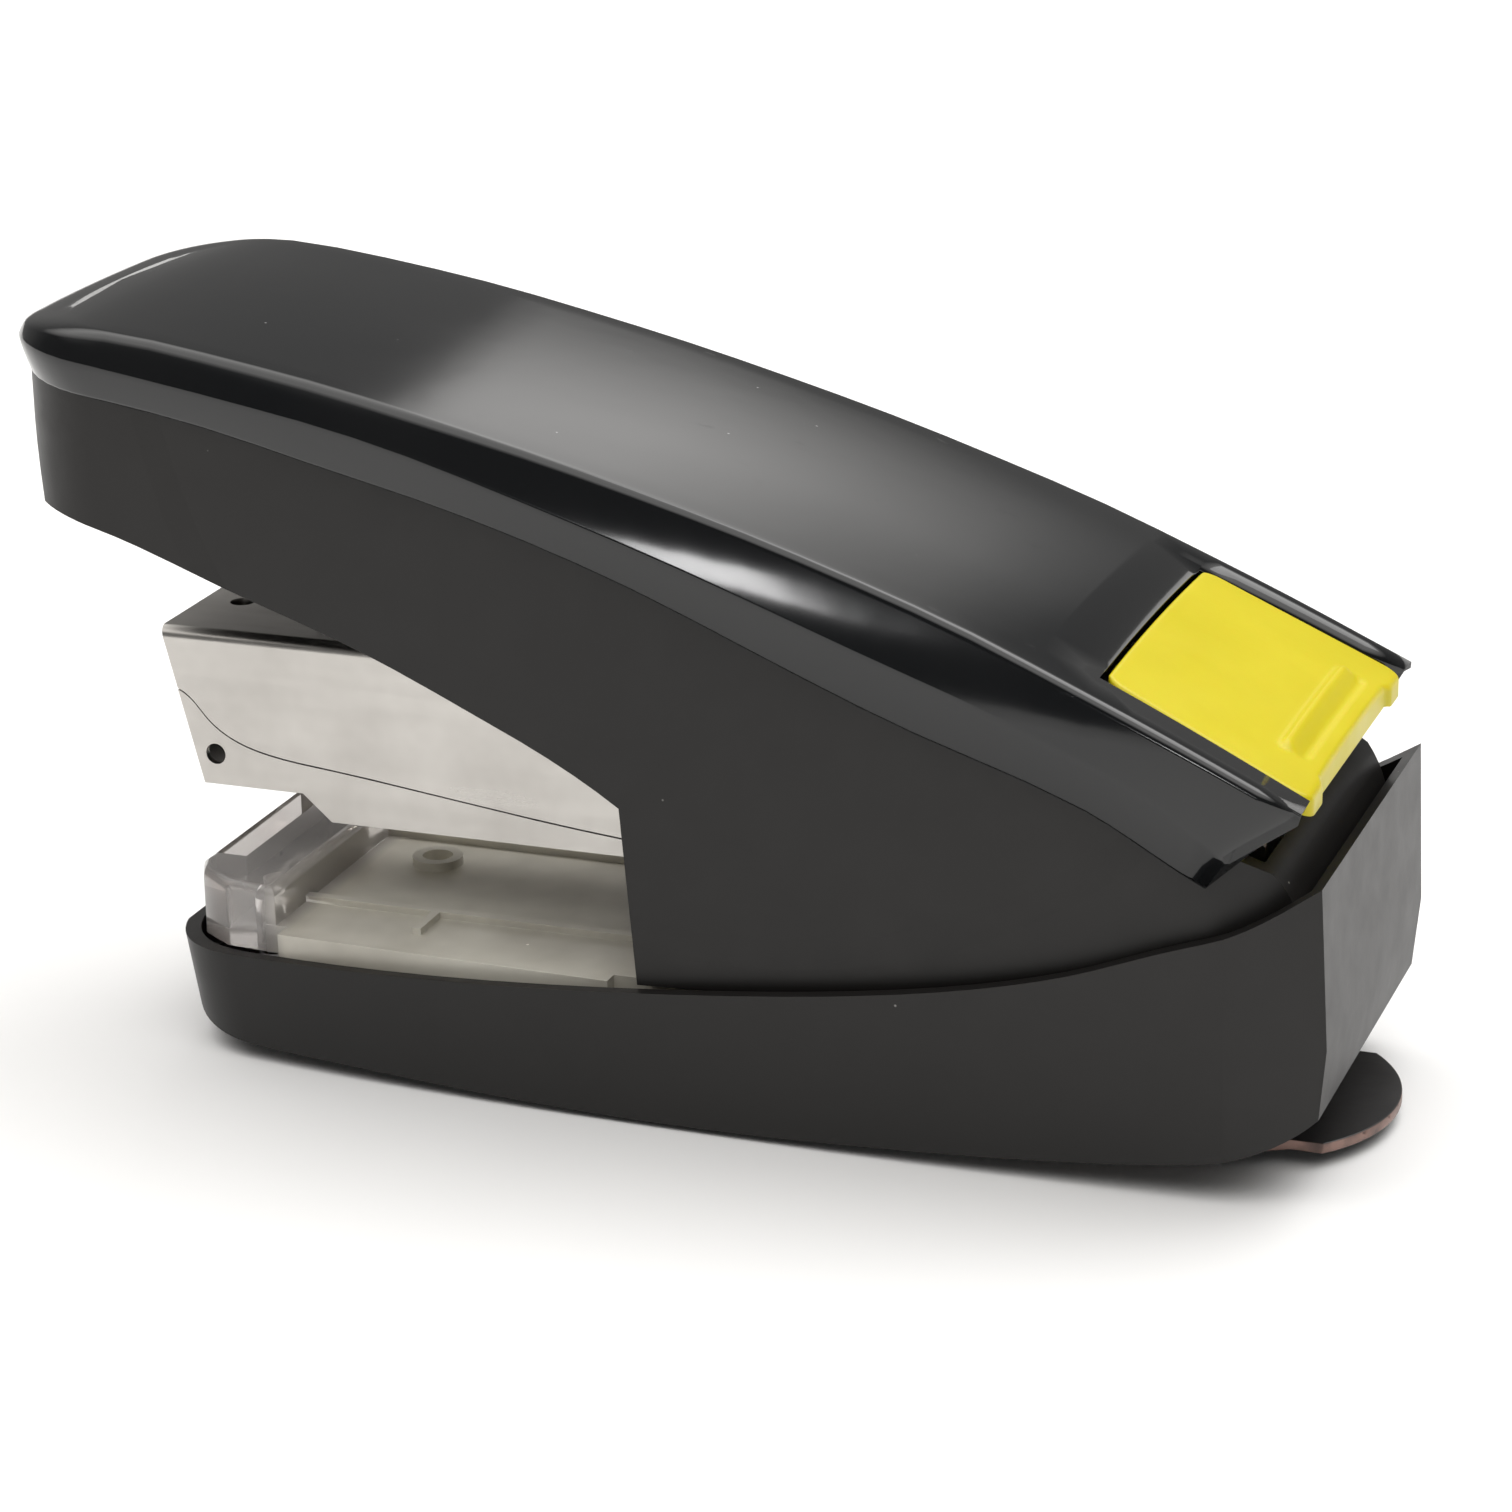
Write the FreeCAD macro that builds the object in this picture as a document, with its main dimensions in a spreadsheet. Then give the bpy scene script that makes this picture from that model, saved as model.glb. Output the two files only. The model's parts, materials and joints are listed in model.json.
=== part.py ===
import FreeCAD, Part
import math
import os
import Sketcher  # makes the sketch object type known

V = FreeCAD.Vector

# A front-loading hand stapler. The drawing has x = 0 at the rear wall of the base, the nose towards -X,
# y = 0 on the plane of symmetry and z = 0 on the surface it rests on. Every sub-part is placed with the
# same shift along X, which puts the origin under the middle of the whole.

DIMENSIONS = {
    "origin_shift": 54.6,
    # base
    "base_length": 100.0,
    "base_half_width": 19.7,
    "base_rear_half_width": 17.1,
    "base_rear_height": 26.6,
    "base_front_height": 9.4,
    "base_wall": 1.2,
    "ledge_top": 2.95,
    "plate_bottom": 1.2,
    "plate_gauge": 0.9,
    "tongue_half_width": 9.5,
    "tongue_reach": 2.9,
    # main pivot
    "pivot_x": -11.0,
    "pivot_z": 21.0,
    "pin_radius": 2.0,
    "running_gap": 0.05,
    "ear_inner": 11.4,
    "ear_gauge": 1.2,
    # magazine
    "magazine_half_width": 8.35,
    "magazine_gauge": 0.6,
    "magazine_top": 34.8,
    "magazine_foot": 18.9,
    "nose_foot": 21.2,
    "seam_gap": 0.12,
    # staples and tray
    "rail_half_width": 5.7,
    "rail_top": 27.2,
    "staple_half_width": 6.4,
    "staple_crown": 27.9,
    "strip_length": 26.0,
    # driver
    "blade_half_width": 6.55,
    "driver_gauge": 0.6,
    "blade_foot": 28.3,
    "blade_back": -97.0,
    "blade_gauge": 0.5,
    # handle
    "handle_front": -112.1,
    "skirt_half_width": 17.7,
    "skirt_wall": 1.5,
    "plate_half_width": 10.3,
    "handle_gauge": 1.0,
    # button
    "button_front": -17.9,
    "button_rear": -1.35,
    "button_front_half": 14.8,
    "button_rear_half": 16.0,
    "button_gap": 0.35,
    # clear table
    "table_foot": 9.1,
    "table_top": 11.6,
    "block_top": 14.9,
}

doc = FreeCAD.newDocument("stapler")
sheet = doc.addObject("Spreadsheet::Sheet", "dims")
for row, (alias, value) in enumerate(DIMENSIONS.items(), start=1):
    sheet.set(f"A{row}", alias)
    sheet.set(f"B{row}", str(value))
    sheet.setAlias(f"B{row}", alias)
doc.recompute()

subparts = []


def dim(alias):
    """The number in the sheet's cell."""
    return float(getattr(sheet, alias))


def finish_subpart(item, label):
    """Name a sub-part, place it in the frame of the whole and list it for export."""
    item.Label = label
    item.setExpression("Placement.Base.x", "dims.origin_shift")
    subparts.append(item)
    return item


# ---------------------------------------------------------------- outlines

def straight(points):
    """A closed outline of straight edges."""
    ends = points[1:] + points[:1]
    return [Part.LineSegment(V(*a, 0), V(*b, 0)) for a, b in zip(points, ends)]


def mixed(*runs):
    """A closed outline of runs that follow each other: a two-point run is straight, and a longer one is a
    smooth curve through its points. Each run starts where the one before it ends."""
    edges = []
    for run in runs:
        points = [V(a, b, 0) for a, b in run]
        if len(points) == 2:
            edges.append(Part.LineSegment(*points))
        else:
            curve = Part.BSplineCurve()
            curve.interpolate(points)
            edges.append(curve)
    return edges


def rectangle(low_a, low_b, high_a, high_b):
    return straight([(low_a, low_b), (high_a, low_b), (high_a, high_b), (low_a, high_b)])


def circle(a, b, radius):
    return [Part.Circle(V(a, b, 0), V(0, 0, 1), radius)]


def on_arc(centre, radius, degrees):
    """A point on a circle, for outlines that turn about a pin."""
    turn = math.radians(degrees)
    return (centre[0] + radius * math.cos(turn), centre[1] + radius * math.sin(turn))


def arc_points(centre, radius, start, end, count=7):
    step = (end - start) / (count - 1)
    return [on_arc(centre, radius, start + step * k) for k in range(count)]


# ---------------------------------------------------------------- solid features

def new_body(name):
    return doc.addObject("PartDesign::Body", name)


def plane_of(body, role):
    return next(item for item in body.Origin.OriginFeatures if item.Role == role)


def sketch_on(body, role, edges, offset="0"):
    """A sketch on one of the body's own origin planes, moved along the plane's normal by an expression."""
    sketch = body.newObject("Sketcher::SketchObject", f"{body.Name}_sketch")
    sketch.AttachmentSupport = [(plane_of(body, role), "")]
    sketch.MapMode = "FlatFace"
    if offset != "0":
        sketch.setExpression("AttachmentOffset.Base.z", offset)
    sketch.addGeometry(edges)
    return sketch


def across(body, edges, width, cut=False):
    """Pad or cut a side outline (x, z) evenly about the plane of symmetry. The width is an expression."""
    kind = "PartDesign::Pocket" if cut else "PartDesign::Pad"
    feature = body.newObject(kind, f"{body.Name}_side")
    feature.Profile = sketch_on(body, "XZ_Plane", edges)
    feature.SideType = "Symmetric"
    feature.setExpression("Length", width)
    check_cut(body, feature, cut)
    return feature


def upward(body, edges, low, height, cut=False):
    """Pad or cut a plan outline (x, y) from one height upward. Both heights are expressions."""
    kind = "PartDesign::Pocket" if cut else "PartDesign::Pad"
    feature = body.newObject(kind, f"{body.Name}_plan")
    feature.Profile = sketch_on(body, "XY_Plane", edges, low)
    feature.Reversed = cut
    feature.setExpression("Length", height)
    check_cut(body, feature, cut)
    return feature


def along(body, edges, start, length, cut=False):
    """Pad or cut a section (y, z) from one x towards +X. Both are expressions."""
    kind = "PartDesign::Pocket" if cut else "PartDesign::Pad"
    feature = body.newObject(kind, f"{body.Name}_section")
    feature.Profile = sketch_on(body, "YZ_Plane", edges, start)
    feature.Reversed = cut
    feature.setExpression("Length", length)
    check_cut(body, feature, cut)
    return feature


def check_cut(body, feature, cut):
    """A cut that misses its solid is an error, so volumes are compared."""
    before = body.Shape.Volume if not body.Shape.isNull() else 0.0
    doc.recompute()
    if cut and feature.Shape.Volume > before - 1e-6:
        raise RuntimeError(f"{body.Name}: a cut took nothing away")


def round_edges(body, radius, chosen):
    """Fillet the edges of the body that chosen(edge) accepts."""
    names = [f"Edge{k}" for k, edge in enumerate(body.Shape.Edges, start=1) if chosen(edge)]
    if not names:
        raise RuntimeError(f"{body.Name}: no edge to round")
    last = body.Tip
    fillet = body.newObject("PartDesign::Fillet", f"{body.Name}_round")
    fillet.Base = (last, names)
    fillet.Radius = radius
    doc.recompute()
    return fillet


def parallel_to(edge, axis):
    """True for a straight edge along an axis: 0 is x, 1 is y and 2 is z."""
    if edge.Curve.TypeId != "Part::GeomLine":
        return False
    run = edge.Vertexes[-1].Point - edge.Vertexes[0].Point
    return abs(run[axis]) > 0.999 * run.Length


def cylinder_between(name, radius, length, centre, axis):
    """A Part cylinder whose radius and length are expressions, from its low end along an axis."""
    item = doc.addObject("Part::Cylinder", name)
    item.setExpression("Radius", radius)
    item.setExpression("Height", length)
    turn = {"x": (V(0, 1, 0), 90), "y": (V(1, 0, 0), -90), "z": (V(0, 0, 1), 0)}[axis]
    item.Placement = FreeCAD.Placement(V(*centre), FreeCAD.Rotation(*turn))
    return item


def joined(label, items):
    """One node made of several solids."""
    group = doc.addObject("Part::MultiFuse", label)
    group.Shapes = items
    group.Refine = False
    doc.recompute()
    return finish_subpart(group, label)


def coil_spring(label, centre, axis, radius, wire, length, turns):
    """A helical spring, with its low end at centre. Sizes are in mm."""
    count = round(turns * 12)
    rise = (length - wire) / count
    points = [V(*on_arc((0.0, 0.0), radius, 30.0 * k), rise * k) for k in range(count + 1)]
    path = Part.BSplineCurve()
    path.interpolate(points)
    start = Part.makeCircle(wire / 2, points[0], path.tangent(path.FirstParameter)[0])
    spring = doc.addObject("Part::Feature", f"{label}_solid")
    spring.Shape = Part.Wire([path.toShape()]).makePipeShell([Part.Wire([start])], True, True)
    turn = {"x": (V(0, 1, 0), 90), "y": (V(1, 0, 0), -90), "z": (V(0, 0, 1), 0)}[axis]
    lift = {"x": V(wire / 2, 0, 0), "y": V(0, wire / 2, 0), "z": V(0, 0, wire / 2)}[axis]
    spring.Placement = FreeCAD.Placement(V(*centre) + lift, FreeCAD.Rotation(*turn))
    return spring


# ---------------------------------------------------------------- shared curves

PIVOT = (dim("pivot_x"), dim("pivot_z"))


def base_rim():
    """Height of the base's rim from the rear wall to the nose, as (x, z)."""
    rear = dim("base_rear_height")
    front = dim("base_front_height")
    return [(2.0, rear + 1.3), (0.0, rear), (-5.6, 23.1), (-11.5, 20.9), (-18.0, 18.4), (-24.0, 16.6),
            (-36.0, 14.2), (-48.0, 12.6), (-62.0, 11.2), (-80.0, 10.0), (-104.0, front)]


def base_plan(inset, front_inset, back=None):
    """Plan outline of the base: flat rear, corners turned in, bowed sides and a round-cornered nose."""
    rear = dim("base_rear_half_width") - inset
    if back is None:
        back = -inset * 0.9
    widest = dim("base_half_width") - inset
    nose = -dim("base_length") + front_inset
    side = [(-7.0, widest - 0.5), (-30.0, widest), (-55.0, widest - 0.1), (-78.0, widest - 1.0),
            (nose + 8.0, widest - 2.3)]
    corner = [side[-1], (nose + 2.6, widest - 4.4), (nose, widest - 9.0)]
    left = [(a, -b) for a, b in side]
    left_corner = [(a, -b) for a, b in corner]
    return mixed([(back, -rear), (back, rear)], [(back, rear), side[0]], side, corner,
                 [corner[-1], left_corner[-1]], left_corner[::-1], left[::-1], [left[0], (back, -rear)])


# Height of the cover along the handle: (x, top edge, half-width there, crease, half-width, lower edge)
COVER_STATIONS = [
    (-113.0, 63.4, 17.0, 60.6, 17.9, 57.6),
    (-103.0, 62.6, 17.7, 59.9, 18.6, 56.8),
    (-86.0, 60.3, 18.3, 57.3, 19.1, 54.3),
    (-68.0, 56.6, 18.4, 52.9, 19.3, 49.9),
    (-50.0, 51.9, 18.4, 47.0, 19.4, 43.4),
    (-34.0, 47.0, 18.5, 41.3, 19.5, 36.6),
    (-20.0, 41.3, 18.9, 36.2, 19.7, 31.9),
    (-8.0, 36.0, 19.4, 30.8, 19.9, 26.3),
    (1.0, 31.6, 19.7, 26.6, 20.0, 22.4),
]


def cover_height(x, column):
    """A height or half-width of the cover at any x, between its stations."""
    for near, far in zip(COVER_STATIONS, COVER_STATIONS[1:]):
        if near[0] <= x <= far[0]:
            share = (x - near[0]) / (far[0] - near[0])
            return near[column] + share * (far[column] - near[column])
    raise ValueError(x)


# ---------------------------------------------------------------- base

def make_base_shell():
    """The black base: bowed walls, open at the top, with a ledge inside that the steel plate backs."""
    body = new_body("base_shell")
    loft = body.newObject("PartDesign::AdditiveLoft", "base_walls")
    loft.Profile = sketch_on(body, "XY_Plane", base_plan(0.6, 1.4))
    middle = sketch_on(body, "XY_Plane", base_plan(0.1, -0.6, 0.7), "dims.base_rear_height / 2")
    upper = sketch_on(body, "XY_Plane", base_plan(-0.5, -3.1, 0.0), "dims.base_rear_height + 2")
    loft.Sections = [middle, upper]
    loft.Ruled = True
    doc.recompute()
    rim = base_rim()
    across(body, mixed(rim, [rim[-1], (-110.0, 40.0)], [(-110.0, 40.0), (6.0, 40.0)], [(6.0, 40.0), rim[0]]),
           "60 mm", cut=True)
    keel = [(3.0, 12.0), (0.2, 7.4), (-4.5, 4.3), (-10.0, 3.0), (-17.0, 2.2), (-33.0, 1.1), (-50.0, 0.5),
            (-68.0, 0.7), (-86.0, 1.3), (-95.0, 2.0), (-103.0, 6.0)]
    front_low, rear_low = (-103.0, -3.0), (3.0, -3.0)
    across(body, mixed(keel, [keel[-1], front_low], [front_low, rear_low], [rear_low, keel[0]]),
           "60 mm", cut=True)
    wall = dim("base_wall")
    upward(body, base_plan(wall, wall - 0.2), "8", "30", cut=True)
    upward(body, base_plan(wall, wall - 0.2, -5.2), "6.4", "2", cut=True)
    upward(body, base_plan(wall + 0.05, wall + 0.5, -5.2), "dims.ledge_top", "4", cut=True)
    upward(body, straight([(-98.25, -8.5), (-93.8, -8.5), (-93.4, -12.7), (-6.0, -13.5), (-6.0, 13.5),
                           (-93.4, 12.7), (-93.8, 8.5), (-98.25, 8.5)]), "0", "6", cut=True)
    upward(body, base_plate_plan(0.2), "-1", "1 + dims.plate_bottom + dims.plate_gauge + 0.05", cut=True)
    for x in SCREW_ROWS:
        for side in (-1, 1):
            upward(body, rectangle(x - 0.6, min(side * SCREW_Y, side * 18.2), x + 0.6,
                                   max(side * SCREW_Y, side * 18.2)), "dims.ledge_top - 0.8", "3")
            upward(body, circle(x, side * SCREW_Y, 2.2), "dims.ledge_top - 0.8", "4")
            upward(body, circle(x, side * SCREW_Y, 1.15), "dims.ledge_top - 1", "3.9", cut=True)
    return finish_subpart(body, "base_shell")


SCREW_ROWS = (-64.0, -30.0)
SCREW_Y = 13.0


def base_plate_plan(grow):
    """Plan outline of the steel plate with its round tongue at the rear."""
    tongue = dim("tongue_half_width") + grow
    reach = dim("tongue_reach") + grow
    neck = (-3.6, tongue)
    side = [(-7.0, 11.4 + grow), (-20.0, 14.7 + grow), (-60.0, 16.3 + grow), (-92.0, 13.6 + grow),
            (-96.0 - grow, 10.0 + grow)]
    far_side = [(x, -y) for x, y in side[::-1]]
    far_neck = (neck[0], -tongue)
    bow = [(-1.0, tongue)] + arc_points((reach - 13.5, 0.0), 13.5, 33.0, -33.0) + [(-1.0, -tongue)]
    corners = [neck] + side + far_side + [far_neck, bow[-1]]
    edges = [[a, b] for a, b in zip(corners, corners[1:])]
    return mixed(*edges, bow[::-1], [bow[0], neck])


def make_base_plate():
    body = new_body("base_plate")
    upward(body, base_plate_plan(0.0), "dims.plate_bottom", "dims.plate_gauge")
    for x in SCREW_ROWS:
        for side in (-1, 1):
            upward(body, circle(x, side * SCREW_Y, 1.3), "0", "4", cut=True)
    for x, y in RIVETS:
        upward(body, circle(x, y, 1.25), "0", "4", cut=True)
    return finish_subpart(body, "base_plate")


def make_foot_pads():
    """Three strips of rubber under the steel plate."""
    pads = []
    strips = [(-90.0, 20.0, 26.0), (-58.0, 20.0, 30.0), (-27.5, 13.0, 26.0)]
    for k, (start, length, width) in enumerate(strips):
        pad = doc.addObject("Part::Box", f"foot_pad_{k}")
        pad.Length = length
        pad.Width = width
        pad.setExpression("Height", "dims.plate_bottom")
        pad.Placement.Base = V(start, -width / 2, 0.0)
        pads.append(pad)
    return joined("foot_pads", pads)


def make_base_screws():
    """Four pan-head screws from under the plate into the shell's bosses."""
    screws = []
    for x in SCREW_ROWS:
        for side in (-1, 1):
            name = f"base_screw_{len(screws)}"
            head = cylinder_between(f"{name}_head", "2.1", "0.8", (x, side * SCREW_Y, 0.4), "z")
            shank = cylinder_between(f"{name}_shank", "1.1", "4.6", (x, side * SCREW_Y, 1.1), "z")
            screw = doc.addObject("Part::Fuse", name)
            screw.Base = head
            screw.Tool = shank
            screws.append(screw)
    return joined("base_screws", screws)


RIVETS = [(-40.0, -7.5), (-40.0, 7.5), (-22.0, -7.5), (-22.0, 7.5)]


def make_pivot_bracket():
    """The steel U riveted to the plate, whose two ears hold the main pin."""
    body = new_body("pivot_bracket")
    outline = straight([(-44.0, 2.1), (-7.0, 2.1), (-7.0, 14.4), (-6.0, 16.4), (-5.6, 21.0), (-7.4, 24.6),
                        (-11.0, 26.2), (-14.6, 24.6), (-16.4, 21.0), (-19.0, 3.3), (-44.0, 3.3)])
    across(body, outline, "2 * (dims.ear_inner + dims.ear_gauge)")
    across(body, rectangle(-50.0, 3.3, 0.0, 40.0), "2 * dims.ear_inner", cut=True)
    across(body, circle(*PIVOT, dim("pin_radius") + dim("running_gap")), "60", cut=True)
    for side in (-1, 1):
        upward(body, rectangle(-45.0, min(side * 10.2, side * 13.0), -19.0, max(side * 10.2, side * 13.0)),
               "2", "10", cut=True)
    for x, y in RIVETS:
        upward(body, circle(x, y, 1.25), "2", "2", cut=True)
    return finish_subpart(body, "pivot_bracket")


def make_bracket_rivets():
    rivets = []
    for x, y in RIVETS:
        name = f"rivet_{len(rivets)}"
        head = cylinder_between(f"{name}_head", "2.2", "0.7", (x, y, 3.3), "z")
        shank = cylinder_between(f"{name}_shank", "1.2", "2.2", (x, y, 1.25), "z")
        rivet = doc.addObject("Part::Fuse", name)
        rivet.Base = head
        rivet.Tool = shank
        rivets.append(rivet)
    return joined("bracket_rivets", rivets)


def make_main_pin():
    """The pin that the magazine and the handle turn on, with a head at each end."""
    reach = dim("ear_inner") + dim("ear_gauge")
    items = [cylinder_between("main_pin_shank", "dims.pin_radius", f"{2 * reach}", (PIVOT[0], -reach, PIVOT[1]),
                              "y")]
    for side, start in ((-1, -reach - 0.8), (1, reach)):
        items.append(cylinder_between(f"main_pin_head_{side + 1}", "dims.pin_radius + 0.8", "0.8",
                                      (PIVOT[0], start, PIVOT[1]), "y"))
    return joined("main_pin", items)


def make_clincher():
    """The hardened anvil that curls the staple's legs, with its two hollows."""
    body = new_body("clincher")
    upward(body, rectangle(-98.0, -8.0, -95.6, 8.0), "dims.plate_bottom + dims.plate_gauge", "10.2")
    for side in (-1, 1):
        centre = side * 4.0
        along(body, straight([(centre - 2.6, 12.31), (centre + 2.6, 12.31), (centre + 0.6, 11.7),
                              (centre - 0.6, 11.7)]), "-97.6", "1.6", cut=True)
    return finish_subpart(body, "clincher")


GUIDES = [(-91.2, -10.6), (-91.2, 10.6), (-50.0, -11.0), (-50.0, 11.0)]


def make_table_guides():
    pins = [cylinder_between(f"table_guide_{k}", "1.2", "8.3", (x, y, 2.1), "z")
            for k, (x, y) in enumerate(GUIDES)]
    return joined("table_guides", pins)


def make_table_springs():
    coils = [coil_spring(f"table_spring_{k}", (x, y, 2.2), "z", 1.8, 0.4, 6.7, 5)
             for k, (x, y) in enumerate(GUIDES)]
    return joined("table_springs", coils)


def make_return_spring():
    """Lifts the magazine off the table."""
    coil = coil_spring("return_spring", (-33.0, 0.0, 3.4), "z", 4.0, 0.9, 13.6, 5)
    return joined_single("return_spring", coil)


def joined_single(label, item):
    """A node made of one ready solid, placed like the others."""
    holder = doc.addObject("Part::Compound", label)
    holder.Links = [item]
    doc.recompute()
    return finish_subpart(holder, label)


# ---------------------------------------------------------------- clear table

def make_clear_table():
    """The transparent table that carries the paper, with its raised block round the clincher."""
    body = new_body("clear_table")
    plate = straight([(-90.6, -14.6), (-88.6, -14.6), (-88.6, -16.4), (-58.6, -17.2), (-58.6, -15.8),
                      (-46.0, -15.8), (-46.0, 15.8), (-58.6, 15.8), (-58.6, 17.2), (-88.6, 16.4), (-88.6, 14.6),
                      (-90.6, 14.6)])
    block = straight([(-89.6, 14.6), (-94.4, 14.2), (-97.4, 12.2), (-98.6, 9.8), (-98.6, -9.8),
                      (-97.4, -12.2), (-94.4, -14.2), (-89.6, -14.6)])
    upward(body, block, "dims.table_foot", "dims.block_top - dims.table_foot")
    round_edges(body, 0.8, lambda e: e.BoundBox.ZMin > dim("block_top") - 0.01)
    upward(body, plate, "dims.table_foot", "dims.table_top - dims.table_foot")
    upward(body, rectangle(-98.2, -8.3, -95.3, 8.3), "0", "30", cut=True)
    low = "dims.table_top - 0.2"
    for side in (-1, 1):
        upward(body, rectangle(-89.8, side * 8.4 - 0.45, -58.0, side * 8.4 + 0.45), low, "0.8")
        upward(body, rectangle(-77.9, side * 10.7 - 2.1, -77.1, side * 10.7 + 2.1), low, "0.8")
    upward(body, circle(-82.6, 3.0, 2.2), low, "1.0")
    upward(body, circle(-82.6, 3.0, 1.3), "dims.table_top - 0.4", "2", cut=True)
    for x, y in GUIDES:
        if x > -60:
            upward(body, circle(x, y, 2.7), "dims.table_top - 0.2", "2.2")
        upward(body, circle(x, y, 1.25), "dims.table_foot - 1", "4.9", cut=True)
    return finish_subpart(body, "clear_table")


# ---------------------------------------------------------------- magazine

def nose_x(z):
    """The nose leans: its front edge, from the foot up to the fold at the top."""
    return -98.8 - (z - dim("nose_foot")) * 0.25


SEAM_REAR = (-52.5, 19.9)


def seam_line(lift):
    """The seam between the housing and the tray, from the nose to the rear, as (x, z). It rises at the nose."""
    line = [(-100.85, 29.4), (-99.6, 28.6), (-98.2, 27.0), (-95.8, 25.3), (-92.6, 24.3), (-87.2, 23.6),
            (-79.6, 22.7), (-67.7, 21.2), (-60.9, 20.5), SEAM_REAR]
    return [(a, b + lift) for a, b in line]


def make_magazine_housing():
    """Inverted channel of bright steel: closed top, leaning front, rear ears on the main pin."""
    body = new_body("magazine_housing")
    gap = dim("seam_gap") / 2
    top = dim("magazine_top")
    gauge = dim("magazine_gauge")
    edge = seam_line(gap)
    back = [(nose_x(top), top), (-13.6, top), (-13.6, 32.4), (-6.6, 26.0), (-5.6, 22.0), (-6.2, 17.6),
            (-9.0, 16.2), (-20.0, 16.6), (-44.0, 17.6), (-45.2, edge[-1][1])]
    path = [edge[0]] + back + [edge[-1]]
    outline = mixed(*[[a, b] for a, b in zip(path, path[1:])], edge[::-1])
    across(body, outline, "2 * dims.magazine_half_width")
    inner = straight([(nose_x(10.0) + gauge, 10.0), (nose_x(top) + gauge, top - gauge), (-22.0, top - gauge),
                      (-22.0, 60.0), (5.0, 60.0), (5.0, 10.0)])
    round_edges(body, 1.0, lambda e: parallel_to(e, 0) and e.BoundBox.ZMin > top - 0.01)
    across(body, inner, "2 * (dims.magazine_half_width - dims.magazine_gauge)", cut=True)
    across(body, circle(*PIVOT, dim("pin_radius") + dim("running_gap")), "60", cut=True)
    across(body, circle(*LATCH_PIN, 0.95), "60", cut=True)
    across(body, circle(*BUTTON_PIN, 1.05), "60", cut=True)
    upward(body, circle(-98.6, 0.0, 1.05), "30", "10", cut=True)
    upward(body, rectangle(-60.0, -3.5, -42.0, 3.5), "30", "10", cut=True)
    return finish_subpart(body, "magazine_housing")


LATCH_PIN = (-22.0, 27.0)
BUTTON_PIN = (-16.0, 32.4)


def make_spring_seat():
    """Steel saddle across the housing: the return spring lifts it and the eject spring starts at it."""
    body = new_body("spring_seat")
    outline = straight([(-40.0, 17.2), (-27.0, 17.2), (-27.0, 18.0), (-39.4, 18.0), (-39.4, 23.6), (-40.0, 23.6)])
    across(body, outline, "2 * (dims.magazine_half_width - dims.magazine_gauge)")
    return finish_subpart(body, "spring_seat")


def make_pin(label, centre, radius, reach):
    pin = cylinder_between(f"{label}_solid", f"{radius}", f"{2 * reach}", (centre[0], -reach, centre[1]), "y")
    return joined_single(label, pin)


def make_button_spring():
    coil = coil_spring("button_spring", (BUTTON_PIN[0], -3.4, BUTTON_PIN[1]), "y", 1.6, 0.4, 6.8, 8)
    return joined_single("button_spring", coil)


def make_latch_spring():
    coil = coil_spring("latch_spring", (LATCH_PIN[0], 5.2, LATCH_PIN[1]), "y", 1.4, 0.35, 1.3, 3)
    return joined_single("latch_spring", coil)


def make_eject_spring():
    coil = coil_spring("eject_spring", (-45.8, 0.0, 21.2), "x", 1.8, 0.5, 5.6, 5)
    return joined_single("eject_spring", coil)


# ---------------------------------------------------------------- tray with the staples

def make_staple_tray():
    """Bright lower channel that slides out of the nose with the staples."""
    body = new_body("staple_tray")
    gap = dim("seam_gap") / 2
    foot = dim("magazine_foot")
    nose = dim("nose_foot")
    gauge = dim("magazine_gauge")
    edge = seam_line(-gap)
    path = [edge[0], (nose_x(nose), nose), (-89.6, nose), (-87.0, foot), (-46.0, foot), (-46.0, edge[-1][1]), edge[-1]]
    outline = mixed(*[[a, b] for a, b in zip(path, path[1:])], edge[::-1])
    across(body, outline, "2 * dims.magazine_half_width")
    inner = straight([(nose_x(nose) + gauge, nose + gauge), (-89.4, nose + gauge), (-86.8, foot + gauge),
                      (-30.0, foot + gauge), (-30.0, 40.0), (nose_x(40.0) + gauge, 40.0)])
    across(body, inner, "2 * (dims.magazine_half_width - dims.magazine_gauge)", cut=True)
    across(body, rectangle(-46.6, foot, -46.0, 24.0), "2 * (dims.magazine_half_width - dims.magazine_gauge)")
    upward(body, rectangle(-98.25, -6.8, -96.7, 6.8), "15", "8", cut=True)
    across(body, circle(-97.6, 23.9, 0.9), "60", cut=True)
    along(body, circle(0.0, ROD_Z, 0.85), "-47", "2", cut=True)
    return finish_subpart(body, "staple_tray")


ROD_Z = 22.4
RAIL_REAR = -50.0
RAIL_SLOT = (-74.0, -51.0)


def make_staple_rail():
    """Inverted channel inside the tray that the staples straddle, slotted for the pusher."""
    body = new_body("staple_rail")
    nose_floor = dim("nose_foot") + dim("magazine_gauge")
    floor = dim("magazine_foot") + dim("magazine_gauge")
    top = dim("rail_top")
    outline = straight([(-96.3, nose_floor), (-86.0, nose_floor), (-85.4, floor), (RAIL_REAR, floor),
                        (RAIL_REAR, top), (-96.3, top)])
    across(body, outline, "2 * dims.rail_half_width")
    across(body, rectangle(-100.0, 10.0, 0.0, top - 0.6), "2 * (dims.rail_half_width - 0.6)", cut=True)
    upward(body, rectangle(RAIL_SLOT[0], -1.6, RAIL_SLOT[1], 1.6), "20", "10", cut=True)
    return finish_subpart(body, "staple_rail")


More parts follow.
